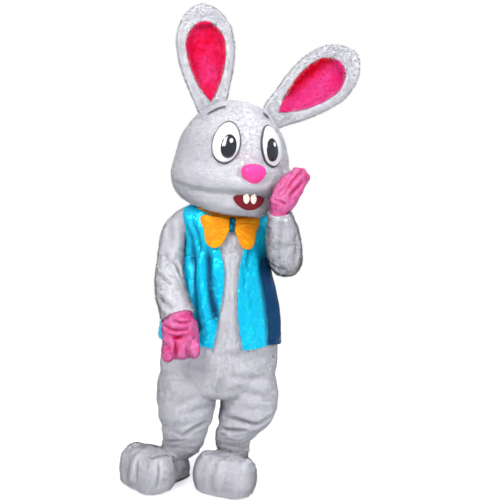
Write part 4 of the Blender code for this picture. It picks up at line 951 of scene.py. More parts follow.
@dataclass(frozen=True)
class Plush(Finish):
    """Pile cloth, as its backing and as its pile. The root colour is painted shade at the foot of the strands, and the
    deep colour is painted shade, laid by each skin's deep attribute.
    """

    light: Rgb
    shade: Rgb
    # Painted shade colours: at the strands' roots, and laid by the deep attribute
    root: Rgb
    deep: Rgb
    sheen: float = 0.05

    def mottle(self, tree: Tree) -> bpy.types.Node:
        """The cloth's uneven tone."""
        return self.group(tree, "mottle", {"Light": (*self.light, 1.0), "Shade": (*self.shade, 1.0)})

    def backing(self) -> bpy.types.Material:
        """The cloth that the pile stands on, with its painted shade."""
        look, tree, shader = self.start(self.name, Sheen_Weight=self.sheen / 2, Specular_IOR_Level=0.1)
        tone = self.mottle(tree)
        # The deep attribute lays on the painted shade colour
        low = tree.add("ShaderNodeAttribute", attribute_name="deep").outputs["Fac"]
        tree.join(mixed(tree, low, tone.outputs["Color"], self.deep), shader.inputs["Base Color"])
        self.bump(tree, shader, tone.outputs["Height"], 0.002)
        return look

    def pile(self) -> bpy.types.Material:
        """The strands, with painted shade towards the root and where the deep attribute lays it, lit as the cloth that
        they stand on.
        """
        look, tree, shader = self.start(f"{self.name}_pile", Specular_IOR_Level=0.04, Sheen_Weight=self.sheen,
                                        Sheen_Roughness=0.45)
        tone = self.mottle(tree)
        along = tree.add("ShaderNodeAttribute", attribute_name="along")
        rise = tree.add("ShaderNodeMapRange", {"Value": along.outputs["Fac"], "From Max": 0.5})
        low = tree.add("ShaderNodeAttribute", attribute_name="deep").outputs["Fac"]
        # Painted shade darkens the strands towards their roots, and the deep attribute adds more
        colour = mixed(tree, rise.outputs["Result"], self.root, tone.outputs["Color"])
        tree.join(mixed(tree, low, colour, self.deep), shader.inputs["Base Color"])
        skin = tree.add("ShaderNodeAttribute", attribute_name="skin")
        own = tree.add("ShaderNodeNewGeometry")
        bend = tree.add("ShaderNodeVectorMath", {0: own.outputs["Normal"]}, operation="SCALE")
        bend.inputs["Scale"].default_value = 0.15
        both = tree.add("ShaderNodeVectorMath", {0: skin.outputs["Vector"], 1: bend.outputs["Vector"]})
        unit = tree.add("ShaderNodeVectorMath", {0: both.outputs["Vector"]}, operation="NORMALIZE")
        tree.join(unit.outputs["Vector"], shader.inputs["Normal"])
        return look


@dataclass(frozen=True)
class LameCloth(Finish):
    """Thin cloth with a metal face, crinkled all over, with painted shade in its crinkles and its folds."""

    crest: Rgb
    valley_shade: Rgb
    trough: Rgb

    def material(self) -> bpy.types.Material:
        """The cloth's material, with painted shade in its crinkles' valleys, in the troughs of its folds and on the
        flank turned from the light.
        """
        look, tree, shader = self.start(self.name, Metallic=0.50)
        crinkle = self.group(tree, "crinkle", {})
        # The crinkles' valleys get painted shade
        colour = mixed(tree, crinkle.outputs["Mask"], self.valley_shade, self.crest)
        # The deep attribute lays on painted shade: fold troughs and the flank turned from the light
        low = tree.add("ShaderNodeAttribute", attribute_name="deep").outputs["Fac"]
        tree.join(mixed(tree, low, colour, self.trough), shader.inputs["Base Color"])
        rough = tree.add("ShaderNodeMapRange", {"Value": crinkle.outputs["Mask"], "To Min": 0.34, "To Max": 0.22})
        tree.join(rough.outputs["Result"], shader.inputs["Roughness"])
        self.bump(tree, shader, crinkle.outputs["Height"], 0.0016)
        return look


@dataclass(frozen=True)
class Satin(Finish):
    """Woven satin with soft small puckers, with painted shade in the puckers' lines."""

    light: Rgb
    shade: Rgb
    metallic: float = 0.0

    def material(self) -> bpy.types.Material:
        """The cloth's material."""
        look, tree, shader = self.start(self.name, Metallic=self.metallic, Specular_IOR_Level=0.25)
        pucker = self.group(tree, "crinkle", {"Scale": 22.0, "Stretch": (0.5, 1.0, 1.0)})
        weave = self.group(tree, "weave", {})
        # Painted shade in the lines of the puckers
        colour = mixed(tree, pucker.outputs["Mask"], self.shade, self.light)
        tree.join(colour, shader.inputs["Base Color"])
        height = tree.add("ShaderNodeMath", {0: weave.outputs["Height"], 1: 0.25, 2: pucker.outputs["Height"]},
                          operation="MULTIPLY_ADD")
        self.bump(tree, shader, height.outputs["Value"], 0.0007)
        return look


@dataclass(frozen=True)
class Moulded(Finish):
    """A smooth moulded or felted piece with faint wear."""

    colour: Rgb
    worn: Rgb
    grain: float
    coat: float = 0.0

    def material(self) -> bpy.types.Material:
        """The piece's material."""
        look, tree, shader = self.start(self.name, Coat_Weight=self.coat, Coat_Roughness=0.06)
        tone = self.group(tree, "mottle", {"Light": (*self.colour, 1.0), "Shade": (*self.worn, 1.0), "Patch": 16.0,
                                           "Tuft": 420.0})
        tree.join(tone.outputs["Color"], shader.inputs["Base Color"])
        self.bump(tree, shader, tone.outputs["Height"], self.grain)
        return look


# Plush: name, roughness, two tones of its mottle, the painted shade at the strands' roots, the painted shade of
# creases and shaded places, and sheen
WHITE = Plush("white_plush", 0.95, (0.955, 0.955, 1.00), (0.86, 0.86, 0.935), (0.76, 0.76, 0.845),
              (0.42, 0.42, 0.49), 0.25)
PINK = Plush("pink_plush", 0.92, (1.00, 0.32, 0.66), (1.00, 0.14, 0.46), (1.00, 0.05, 0.30), (1.00, 0.00, 0.11))
ROSE = Plush("rose_plush", 0.92, (1.00, 0.08, 0.38), (1.00, 0.02, 0.20), (0.98, 0.005, 0.10), (0.92, 0.00, 0.025))
# Lamé: name, roughness, its crest colour, the painted shade of its crinkles' valleys, the painted shade of its fold
# troughs and turned flank
LAME_BLUE = LameCloth("blue_lame", 0.28, (0.00, 0.84, 1.00), (0.00, 0.60, 0.96), (0.00, 0.022, 0.11))
# Satin: name, roughness, its colour, the painted shade in its puckers, and metallic
ORANGE = Satin("orange_satin", 0.50, (1.00, 0.50, 0.00), (0.96, 0.27, 0.00))
TEAL = Satin("teal_satin", 0.22, (0.01, 0.34, 0.50), (0.00, 0.06, 0.13), 0.85)
EYE_WHITE = Moulded("eye_white", 0.20, (0.84, 0.86, 0.85), (0.78, 0.80, 0.79), 0.00003, 0.6)
EYE_BLACK = Moulded("eye_black", 0.10, (0.006, 0.006, 0.008), (0.012, 0.012, 0.014), 0.00003, 1.0)
EYE_RIM = Moulded("eye_rim", 0.35, (0.06, 0.06, 0.08), (0.10, 0.10, 0.12), 0.0001)
NOSE_PINK = Moulded("nose_pink", 0.50, (1.00, 0.05, 0.36), (0.96, 0.04, 0.30), 0.0004, 0.05)
MOUTH_RED = Moulded("mouth_felt", 0.85, (0.20, 0.004, 0.012), (0.12, 0.002, 0.008), 0.0008)
TOOTH_WHITE = Moulded("tooth_white", 0.35, (0.88, 0.86, 0.76), (0.80, 0.77, 0.66), 0.0001, 0.3)
SOLE_GREY = Moulded("sole_felt", 0.90, (0.16, 0.15, 0.16), (0.09, 0.085, 0.09), 0.0010)


# Pile, which repeats

def pile_tree() -> None:
    """The tree that sets strands of pile on a skin, each leaning with the pile's lie."""
    number = "NodeSocketFloat"
    tree, given, result = new_group(
        "pile", "GeometryNodeTree",
        {"Skin": ("NodeSocketGeometry", None), "Density": (number, 1e5), "Length": (number, 0.01),
         "Width": (number, 0.0018), "Lean": (number, 0.8), "Ruffle": (number, 0.8), "Seed": ("NodeSocketInt", 1),
         "Look": ("NodeSocketMaterial", None)}, {"Strands": "NodeSocketGeometry"})
    pile = tree.add("GeometryNodeInputNamedAttribute", {"Name": "pile"}, data_type="FLOAT")
    density = tree.add("ShaderNodeMath", {0: given.outputs["Density"], 1: tree.out(pile, "Attribute")},
                       operation="MULTIPLY")
    spread = tree.add("GeometryNodeDistributePointsOnFaces",
                      {"Mesh": given.outputs["Skin"], "Density": density.outputs["Value"],
                       "Seed": given.outputs["Seed"]}, distribute_method="RANDOM")
    lie = tree.add("GeometryNodeInputNamedAttribute", {"Name": "lie"}, data_type="FLOAT_VECTOR")
    leaning = tree.add("ShaderNodeVectorMath", {0: tree.out(lie, "Attribute")}, operation="SCALE")
    tree.join(given.outputs["Lean"], leaning.inputs["Scale"])
    clump = tree.add("ShaderNodeTexNoise", {"Vector": tree.add("GeometryNodeInputPosition").outputs["Position"],
                                            "Scale": 55.0, "Detail": 2.0})
    swing = tree.add("ShaderNodeVectorMath", {0: clump.outputs["Color"], 1: (0.5, 0.5, 0.5)}, operation="SUBTRACT")
    stray = tree.add("FunctionNodeRandomValue", {"Min": (-0.35, -0.35, -0.35), "Max": (0.35, 0.35, 0.35), "Seed": 7},
                     data_type="FLOAT_VECTOR")
    swing = tree.add("ShaderNodeVectorMath", {0: swing.outputs["Vector"], 1: (5.0, 5.0, 5.0),
                                              2: tree.out(stray, "Value")}, operation="MULTIPLY_ADD")
    ruffle = tree.add("ShaderNodeVectorMath", {0: swing.outputs["Vector"]}, operation="SCALE")
    tree.join(given.outputs["Ruffle"], ruffle.inputs["Scale"])
    soft = tree.add("ShaderNodeVectorMath", {0: ruffle.outputs["Vector"]}, operation="SCALE")
    soft.inputs["Scale"].default_value = 0.22
    tuft = tree.add("ShaderNodeVectorMath", {0: spread.outputs["Normal"], 1: soft.outputs["Vector"]})
    kept = tree.add("GeometryNodeStoreNamedAttribute",
                    {"Geometry": spread.outputs["Points"], "Name": "skin", "Value": tuft.outputs["Vector"]},
                    data_type="FLOAT_VECTOR", domain="POINT")
    way = tree.add("ShaderNodeVectorMath", {0: spread.outputs["Normal"], 1: leaning.outputs["Vector"]})
    way = tree.add("ShaderNodeVectorMath", {0: way.outputs["Vector"], 1: ruffle.outputs["Vector"]})
    stand = tree.add("FunctionNodeAlignRotationToVector", {"Vector": way.outputs["Vector"]}, axis="Z")
    spin = tree.add("FunctionNodeRandomValue", {"Max": 6.283, "Seed": 3}, data_type="FLOAT")
    about = tree.add("FunctionNodeAxisAngleToRotation", {"Axis": (0, 0, 1), "Angle": tree.out(spin, "Value")})
    turned = tree.add("FunctionNodeRotateRotation", {"Rotation": stand.outputs["Rotation"],
                                                     "Rotate By": about.outputs["Rotation"]}, rotation_space="LOCAL")
    blade = tree.add("GeometryNodeMeshCircle", {"Vertices": 3, "Radius": 1.0}, fill_type="NGON")
    blade = tree.add("GeometryNodeTransform", {"Geometry": blade.outputs["Mesh"], "Translation": (0, 0, 0.333),
                                               "Rotation": (0, -math.pi / 2, 0), "Scale": (0.6667, 0.577, 1.0)})
    at = tree.add("ShaderNodeSeparateXYZ",
                  {"Vector": tree.add("GeometryNodeInputPosition").outputs["Position"]})
    blade = tree.add("GeometryNodeStoreNamedAttribute", {"Geometry": blade.outputs["Geometry"], "Name": "along",
                                                         "Value": at.outputs["Z"]}, data_type="FLOAT", domain="POINT")
    uneven = tree.add("FunctionNodeRandomValue", {"Min": 0.65, "Max": 1.15, "Seed": 5}, data_type="FLOAT")
    tall = tree.add("ShaderNodeMath", {0: given.outputs["Length"], 1: tree.out(uneven, "Value")},
                    operation="MULTIPLY")
    size = tree.add("ShaderNodeCombineXYZ", {"X": given.outputs["Width"], "Y": given.outputs["Width"],
                                             "Z": tall.outputs["Value"]})
    placed = tree.add("GeometryNodeInstanceOnPoints",
                      {"Points": kept.outputs["Geometry"], "Instance": blade.outputs["Geometry"],
                       "Rotation": turned.outputs["Rotation"], "Scale": size.outputs["Vector"]})
    whole = tree.add("GeometryNodeRealizeInstances", {"Geometry": placed.outputs["Instances"]})
    dressed = tree.add("GeometryNodeSetMaterial", {"Geometry": whole.outputs["Geometry"],
                                                   "Material": given.outputs["Look"]})
    tree.join(dressed.outputs["Geometry"], result.inputs["Strands"])


def run_tree(name: str, source: Object, tree_name: str, values: dict) -> Object:
    """A plain mesh made by a Geometry Nodes tree.

    Args:
        name: The new object's name.
        source: The object that the tree starts from, which stays as it is.
        tree_name: The tree.
        values: Its inputs by name.

    Returns:
        The new object.
    """
    made = bpy.data.objects.new(name, source.data)
    bpy.context.scene.collection.objects.link(made)
    modifier = made.modifiers.new(tree_name, "NODES")
    modifier.node_group = bpy.data.node_groups[tree_name]
    names = {s.name: s.identifier for s in modifier.node_group.interface.items_tree if s.in_out == "INPUT"}
    for label, value in values.items():
        modifier[names[label]] = value
    graph = bpy.context.evaluated_depsgraph_get()
    mesh = bpy.data.meshes.new_from_object(made.evaluated_get(graph))
    made.modifiers.clear()
    made.data = mesh
    return made


@dataclass(frozen=True)
class Pile:
    """A pile: its length and strand width in metres, strands in a square metre, lean, and unruliness."""

    length: float
    width: float
    density: float
    lean: float
    ruffle: float

    def grow(self, skin: Object, look: bpy.types.Material, seed: int,
             lie: Callable[[np.ndarray], np.ndarray], cover: Callable[[np.ndarray, np.ndarray], np.ndarray]) -> Object:
        """Grows the pile on a skin's outside.

        Args:
            skin: The piece that carries it.
            look: The strands' material.
            seed: Which random draw.
            lie: The direction the strands lean in, at points.
            cover: How full the pile is from 0 to 1, at points with normals.

        Returns:
            The strands.
        """
        points, normals = points_of(skin)
        for label, kind, values in (("lie", "FLOAT_VECTOR", lie(points)), ("pile", "FLOAT", cover(points, normals))):
            attribute = skin.data.attributes.new(label, kind, "POINT")
            attribute.data.foreach_set("vector" if kind == "FLOAT_VECTOR" else "value",
                                       np.asarray(values, np.float32).ravel())
        return run_tree(f"{skin.name}_pile", skin, "pile",
                        {"Density": self.density, "Length": self.length, "Width": self.width, "Lean": self.lean,
                         "Ruffle": self.ruffle, "Seed": seed, "Look": look})


BODY_PILE = Pile(0.0105, 0.0023, 86000.0, 0.95, 0.45)
HEAD_PILE = Pile(0.0095, 0.0022, 100000.0, 0.85, 0.35)
EAR_PILE = Pile(0.0115, 0.0022, 98000.0, 0.60, 0.60)
SHORT_PILE = Pile(0.0066, 0.0017, 138000.0, 0.70, 0.90)


def dressed(obj: Object, look: bpy.types.Material, slot: str, replaced: Sequence[str] = ()) -> Object:
    """Gives a finished piece its material and its place in the frame.

    Args:
        obj: The piece.
        look: Its material.
        slot: Not used.
        replaced: The CAD nodes that it stands for.

    Returns:
        The piece.
    """
    obj.data.materials.clear()
    obj.data.materials.append(look)
    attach(obj, "root")
    if replaced:
        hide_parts(*replaced)
    LOG.info("%s: %d faces", obj.name, len(obj.data.polygons))
    return obj


def furred(skin: Object, backing: bpy.types.Material, fur: Object, strands: bpy.types.Material, slot: str,
           replaced: Sequence[str]) -> None:
    """Gives a skin and its pile their materials and their places in the frame.

    Args:
        skin: The skin.
        backing: Its material.
        fur: Its pile.
        strands: The pile's material.
        slot: A name handed on to dressed.
        replaced: The CAD nodes that the skin stands for.
    """
    dressed(skin, backing, slot, replaced)
    dressed(fur, strands, slot)


class Workshop:
    """The materials and trees that the pieces share."""

    def __init__(self) -> None:
        """Makes the shared groups, trees and materials."""
        mottle_group()
        crinkle_group()
        weave_group()
        pile_tree()
        self.white, self.white_pile = WHITE.backing(), WHITE.pile()
        self.pink, self.pink_pile = PINK.backing(), PINK.pile()
        self.rose, self.rose_pile = ROSE.backing(), ROSE.pile()
        self.lame = LAME_BLUE.material()
        self.orange = ORANGE.material()
        self.teal = TEAL.material()
        self.eye_white = EYE_WHITE.material()
        self.eye_black = EYE_BLACK.material()
        self.eye_rim = EYE_RIM.material()
        self.nose = NOSE_PINK.material()
        self.mouth = MOUTH_RED.material()
        self.tooth = TOOTH_WHITE.material()
        self.sole = SOLE_GREY.material()


def torso_surface(azimuths: np.ndarray, heights: np.ndarray) -> np.ndarray:
    """Points of the torso's outline.

    Args:
        azimuths: Each point's azimuth, in degrees.
        heights: Each point's height.

    Returns:
        The points.
    """
    rows = through(TORSO, 8)
    order = np.argsort(rows[:, 0])
    half, front, back = (np.interp(heights, rows[order, 0], rows[order, i]) for i in (3, 4, 5))
    turn = np.radians(azimuths)
    depth = np.where(np.cos(turn) > 0, front, back)
    return np.stack([half * np.sin(turn), -depth * np.cos(turn), heights], axis=-1)


@dataclass
class Suit:
    """The body of the suit, from the neck to the ankles, and its two sleeves."""

    shop: Workshop
    voxel: float = 0.0072
    leg_columns: int = 72
    arm_columns: int = 64
    arm_steps: int = 7
    columns: int = 132
    seam_depth: float = 0.0022
    seam_width: float = 0.006
    crotch: float = 0.47

    def leg(self, side: Side) -> np.ndarray:
        """A leg's skin with its creases, its hem higher over the instep."""
        angles = even_angles(self.leg_columns)
        top = LEGS[side][0] * (1, 1, 1, 0.62, 0.66, 0.66) + (0.075, -0.012 * side.sign, 0, 0, 0, 0)
        grid = upright(through(np.vstack([top, LEGS[side]]), 8), angles)
        grid = moved_out(grid, relief(grid[:, :, 2], angles[None, :], LEG_FOLDS[side]))
        heading = math.radians(FOOT_PLACES[side][2])
        middles = grid.mean(axis=1, keepdims=True)
        ahead = -(grid - middles)[:, :, 0] * math.sin(heading) - (grid - middles)[:, :, 1] * math.cos(heading)
        low = np.clip((HEM_TILT_FROM - grid[:, :, 2]) / (HEM_TILT_FROM - HEM_TILT_TO), 0.0, 1.0)
        grid[:, :, 2] += HEM_TILT * ahead * low
        return moved_out(grid, -PILE_DEPTH)

    def body(self) -> Object:
        """The body's wall: torso and legs in one skin, open at neck and ankles."""
        angles = even_angles(self.columns)
        torso = upright(through(TORSO, 6), angles)
        torso = moved_out(torso, relief(torso[:, :, 2], angles[None, :], TORSO_FOLDS) - PILE_DEPTH)
        legs = {side: self.leg(side) for side in Side}
        forms = [closed_form("torso_form", torso)]
        forms += [closed_form(f"leg_form_{side.value}", run_on(grid, 0.03)) for side, grid in legs.items()]
        skin = fused("suit_body", forms, self.voxel, 6)
        deep = creased(skin, SUIT_CREASES)
        points, _ = points_of(skin)
        seam = -self.seam_depth * np.exp(-(points[:, 0] / self.seam_width) ** 2) * (points[:, 2] > self.crotch)
        move_points(skin, seam + lumps(points, 0.075, 0.0032, 3) + lumps(points, 0.026, 0.0014, 4))
        # Painted shade in the body's creases
        paint_shade(skin, BODY_SHADE * deep)
        cut(skin, (0, 0, NECK_RIM), (0, 0, 1), lambda p: p.z > COLLAR_FROM)
        for side, grid in legs.items():
            heading = math.radians(FOOT_PLACES[side][2])
            down = (-HEM_TILT * math.sin(heading), -HEM_TILT * math.cos(heading), -1.0)
            cut(skin, grid[-1].mean(axis=0), down, lambda p, s=side: p.z < 0.25 and p.x * s.sign > 0)
        return thickened(skin, PLUSH)

    def bare(self, points: np.ndarray) -> np.ndarray:
        """Where the suit's outside is bare of pile: 1 in the open, 0 under the waistcoat and inside."""
        height = points[:, 2]
        right = np.interp(height, OPENING[:, 0], OPENING[:, 1]) - 0.012
        left = np.interp(height, OPENING[:, 0], OPENING[:, 2]) + 0.012
        between = (points[:, 1] < 0) & (points[:, 0] > right) & (points[:, 0] < left)
        shown = (height < VEST_HEM + 0.012) | between
        return (shown & (height < COLLAR_FROM)).astype(float)

    def sleeve(self, side: Side) -> np.ndarray:
        """A sleeve's skin with its creases."""
        rows = through(np.vstack([SLEEVES[side], HANDS[side][:1]]), self.arm_steps)[:-self.arm_steps]
        rows[:, 3] *= np.interp(np.arange(len(rows)) / self.arm_steps, *SLEEVE_HEAD)
        grid = tube(rows, self.arm_columns)
        along = np.arange(len(rows))[:, None] / self.arm_steps
        angles = (np.arange(self.arm_columns) * 360.0 / self.arm_columns)[None, :]
        moved = relief(along, angles, SLEEVE_FOLDS[side]) - PILE_DEPTH
        moved = moved + lumps(grid, 0.06, 0.0028, 11 + side.sign) + lumps(grid, 0.022, 0.0012, 17)
        return moved_out(grid, moved)

    def build(self) -> None:
        """Builds the suit's pieces and their pile."""
        shop = self.shop
        body = self.body()
        pile = BODY_PILE.grow(body, shop.white_pile, 11, lambda p: np.tile((0.0, 0.0, -1.0), (len(p), 1)),
                              lambda p, n: self.bare(p) * outside_of_wall(body))
        panels = [f"suit_{face}_{side.value}" for face in ("front", "back") for side in Side]
        furred(body, shop.white, pile, shop.white_pile, "white_plush", panels)
        for side in Side:
            grid = self.sleeve(side)
            inside = [within_torso(ring.mean(axis=0), 0.60) for ring in grid]
            grid = grid[sum(inside):]
            moved, deep = pressed(grid.reshape(-1, 3), SLEEVE_CREASES[side])
            wall = open_wall(f"sleeve_skin_{side.value}", moved_out(grid, moved.reshape(grid.shape[:2])), PLUSH)
            # Painted shade in the sleeve's creases
            paint_shade(wall, np.tile(SLEEVE_SHADE * deep, 2))
            fur = BODY_PILE.grow(wall, shop.white_pile, 21 + side.sign,
                                 lambda p, s=side: tangents_near(p, SLEEVES[s]),
                                 lambda p, n, w=wall: outside_of_wall(w) * (torso_depth(p) > -0.012))
            furred(wall, shop.white, fur, shop.white_pile, "white_plush", [f"sleeve_{side.value}"])


def outside_of_wall(obj: Object) -> np.ndarray:
    """1 at the points of a closed wall's outer face and 0 at those of its inner one.

    A wall's builder puts its outer points first, and Solidify does too.
    """
    count = len(obj.data.vertices)
    mask = np.zeros(count)
    mask[:count // 2] = 1.0
    return mask


def torso_depth(points: np.ndarray) -> np.ndarray:
    """How far points lie outside the torso's outline, roughly, in metres."""
    reach = np.hypot(points[:, 0], points[:, 1])
    azimuth = np.degrees(np.arctan2(points[:, 0], -points[:, 1]))
    at = torso_surface(azimuth, np.clip(points[:, 2], 0.45, 1.41))
    return reach - np.hypot(at[:, 0], at[:, 1])


def within_torso(point: np.ndarray, share: float) -> bool:
    """Whether a point lies inside the torso, within a share of its depth."""
    reach = math.hypot(point[0], point[1])
    return reach < share * (reach - float(torso_depth(point[None])[0]))


@dataclass
class Glove:
    """A pink glove: a hand with three curled fingers, its cuff inside the sleeve."""

    shop: Workshop
    side: Side
    voxel: float = 0.0036
    columns: int = 48
    finger_columns: int = 28
    inset: float = 0.0045
    finger_inset: float = 0.004

    def build(self) -> None:
        """Builds the glove and its pile."""
        side = self.side
        arm = SLEEVES[side].copy()
        arm[-2:, 3:] = np.minimum(arm[-2:, 3:] - CUFF_EASE, HANDS[side][0, 3:])
        stations = np.vstack([arm, HANDS[side]])
        rows = through(stations[-2 - len(HANDS[side]):], 6)
        hand = moved_out(tube(through(stations, 6), self.columns)[-len(rows):], -self.inset)
        forms = [closed_form(f"hand_form_{side.value}", rounded_end(hand))]
        for i, finger in enumerate(FINGERS[side]):
            bent = rounded_end(tube(through(finger, 5), self.finger_columns))
            forms.append(closed_form(f"finger_form_{side.value}_{i}", moved_out(bent, -self.finger_inset)))
        skin = fused(f"glove_skin_{side.value}", forms, self.voxel, 4)
        points, _ = points_of(skin)
        move_points(skin, lumps(points, 0.022, 0.0018, 31) + lumps(points, 0.009, 0.0007, 32))
        deep = creased(skin, GLOVE_CREASES[side])
        # Painted shade in the glove's creases, with random darker patches of tone
        paint_shade(skin, np.maximum(deep, np.clip(lumps(points, 0.035, 0.6, 33), 0.0, 0.35)))
        open_at, ahead = rows[0, :3], rows[1, :3] - rows[0, :3]
        cuff, out = SLEEVES[side][-1, :3], HANDS[side][0, :3] - SLEEVES[side][-2, :3]
        cut(skin, open_at + ahead * 0.6, -ahead, lambda p: (p - Vector(open_at)).length < 0.16)
        thickened(skin, PLUSH)
        fur = SHORT_PILE.grow(skin, self.shop.pink_pile, 41 + side.sign,
                              lambda p: tangents_near(p, np.vstack([SLEEVES[side][-2:], HANDS[side]])),
                              lambda p, n: outside_of_wall(skin) * ((p - cuff) @ out > 0.005 * np.linalg.norm(out)))
        furred(skin, self.shop.pink, fur, self.shop.pink_pile, "pink_plush", [f"glove_{side.value}"])


@dataclass
class Foot:
    """A big stuffed foot with three toes."""

    shop: Workshop
    side: Side
    voxel: float = 0.0058
    columns: int = 60
    toe_columns: int = 44
    toe_inset: float = 0.005
    ankle_rings: int = 18
    ankle_gap: float = 0.004
    sole_top: float = 0.0100

    def build(self) -> None:
        """Builds the foot and its pile, and finishes its sole."""
        side = self.side
        x, y, heading = FOOT_PLACES[side]
        turn = np.array(Matrix.Rotation(-math.radians(heading), 3, "Z"))
        angle = 2 * np.pi * (np.arange(self.columns) + 0.5) / self.columns
        across, up = (np.sign(v) * np.abs(v) ** 0.7 for v in (np.cos(angle), np.sin(angle)))
        forms = []
        for rows in (through(FOOT_BODY, 5), through(FOOT_BED, 5)):
            grid = np.zeros((len(rows), self.columns, 3))
            grid[:, :, 0] = rows[:, 1, None] * across
            grid[:, :, 1] = -rows[:, 0, None]
            grid[:, :, 2] = ((rows[:, 2] - FOOT_BELOW) / 2)[:, None] + (rows[:, 2, None] + FOOT_BELOW) / 2 * up
            forms.append(moved_out(grid, -PILE_DEPTH))
        high, wide = TOE_RINGS[-1]
        rings = list(through(TOE_RINGS, 5))
        rings += [(high + (TOE_TOP - high) * math.sin(t), wide * math.cos(t)) for t in TOE_ROUNDING]
        around = np.linspace(0, 2 * np.pi, self.toe_columns, endpoint=False)
        for aside, along in TOES:
            toe = np.array([np.stack([aside + (TOE_SIZE[0] * s) * np.cos(around),
                                      -along - (TOE_SIZE[1] * s) * np.sin(around), np.full(len(around), h)], axis=1)
                            for h, s in rings])
            forms.append(moved_out(toe, -self.toe_inset))
        made = [closed_form(f"foot_form_{side.value}_{i}", g @ turn.T + (x, y, 0.0)) for i, g in enumerate(forms)]
        ankle = Suit(self.shop).leg(side)[-self.ankle_rings:]
        ankle = moved_out(ankle, -PLUSH - self.ankle_gap)
        low = ankle[-1].mean(axis=0)
        down = np.array([[x, y, low[2] - 0.05]]) + (ankle[-1] - low) * 0.80
        made.append(closed_form(f"ankle_form_{side.value}", np.concatenate([ankle, down[None]])))
        skin = fused(f"foot_skin_{side.value}", made, self.voxel, 9)
        deep = creased(skin, FOOT_CREASES[side])
        # Painted shade in the foot's creases
        paint_shade(skin, FOOT_SHADE * deep)
        cut(skin, (0, 0, self.sole_top), (0, 0, -1), lambda p: p.z < 0.06)
        points, _ = points_of(skin)
        rise = np.clip((points[:, 2] - 0.012) / 0.02, 0.0, 1.0)
        move_points(skin, (lumps(points, 0.07, 0.0030, 51 + side.sign) + lumps(points, 0.025, 0.0008, 53)) * rise)
        close_holes(skin)
        ahead = np.array([-math.sin(math.radians(heading)), -math.cos(math.radians(heading)), -0.9])
        fur = BODY_PILE.grow(skin, self.shop.white_pile, 61 + side.sign,
                             lambda p: np.tile(ahead / np.linalg.norm(ahead), (len(p), 1)),
                             lambda p, n: ((n[:, 2] > -0.8) & (p[:, 2] < 0.30)).astype(float))
        furred(skin, self.shop.white, fur, self.shop.white_pile, "white_plush", [f"foot_{side.value}"])


def close_holes(obj: Object) -> None:
    """Closes the open edges of a skin with flat faces."""
    shape = bmesh.new()
    shape.from_mesh(obj.data)
    bmesh.ops.holes_fill(shape, edges=[e for e in shape.edges if e.is_boundary], sides=0)
    bmesh.ops.recalc_face_normals(shape, faces=shape.faces)
    shape.to_mesh(obj.data)
    shape.free()


@dataclass(frozen=True)
class Patch:
    """A piece of the face: its place on the head, half sizes in degrees and metres, dome, smile, lift and edge."""

    azimuth: float
    height: float
    half_angle: float
    half_height: float
    dome: float
    smile: float
    base: float
    edge: float = 0.002


EYES = Patch(25.5, 1.650, 13.8, 0.090, 0.012, 0.0, 0.004)
EYE_RIMS = Patch(25.5, 1.650, 14.6, 0.0945, 0.004, 0.0, 0.003)
PUPILS = Patch(22.5, 1.632, 7.4, 0.052, 0.003, 0.0, 0.0155)
GLINTS = {Side.RIGHT: Patch(20.4, 1.654, 1.7, 0.0105, 0.001, 0.0, 0.0190, 0.0008),
          Side.LEFT: Patch(24.4, 1.654, 1.7, 0.0105, 0.001, 0.0, 0.0190, 0.0008)}
BROWS = {
    Side.RIGHT: [(-0.146, -0.117, 1.772), (-0.117, -0.126, 1.791), (-0.091, -0.128, 1.804), (-0.065, -0.130, 1.813)],
    Side.LEFT: [(0.106, -0.131, 1.798), (0.121, -0.132, 1.788), (0.136, -0.132, 1.774)],
}
MOUTH = Patch(0.0, 1.392, 15.0, 0.032, 0.002, 0.5, 0.004)
TEETH = Patch(3.4, 1.410, 3.0, 0.024, 0.003, 0.0, 0.0065)


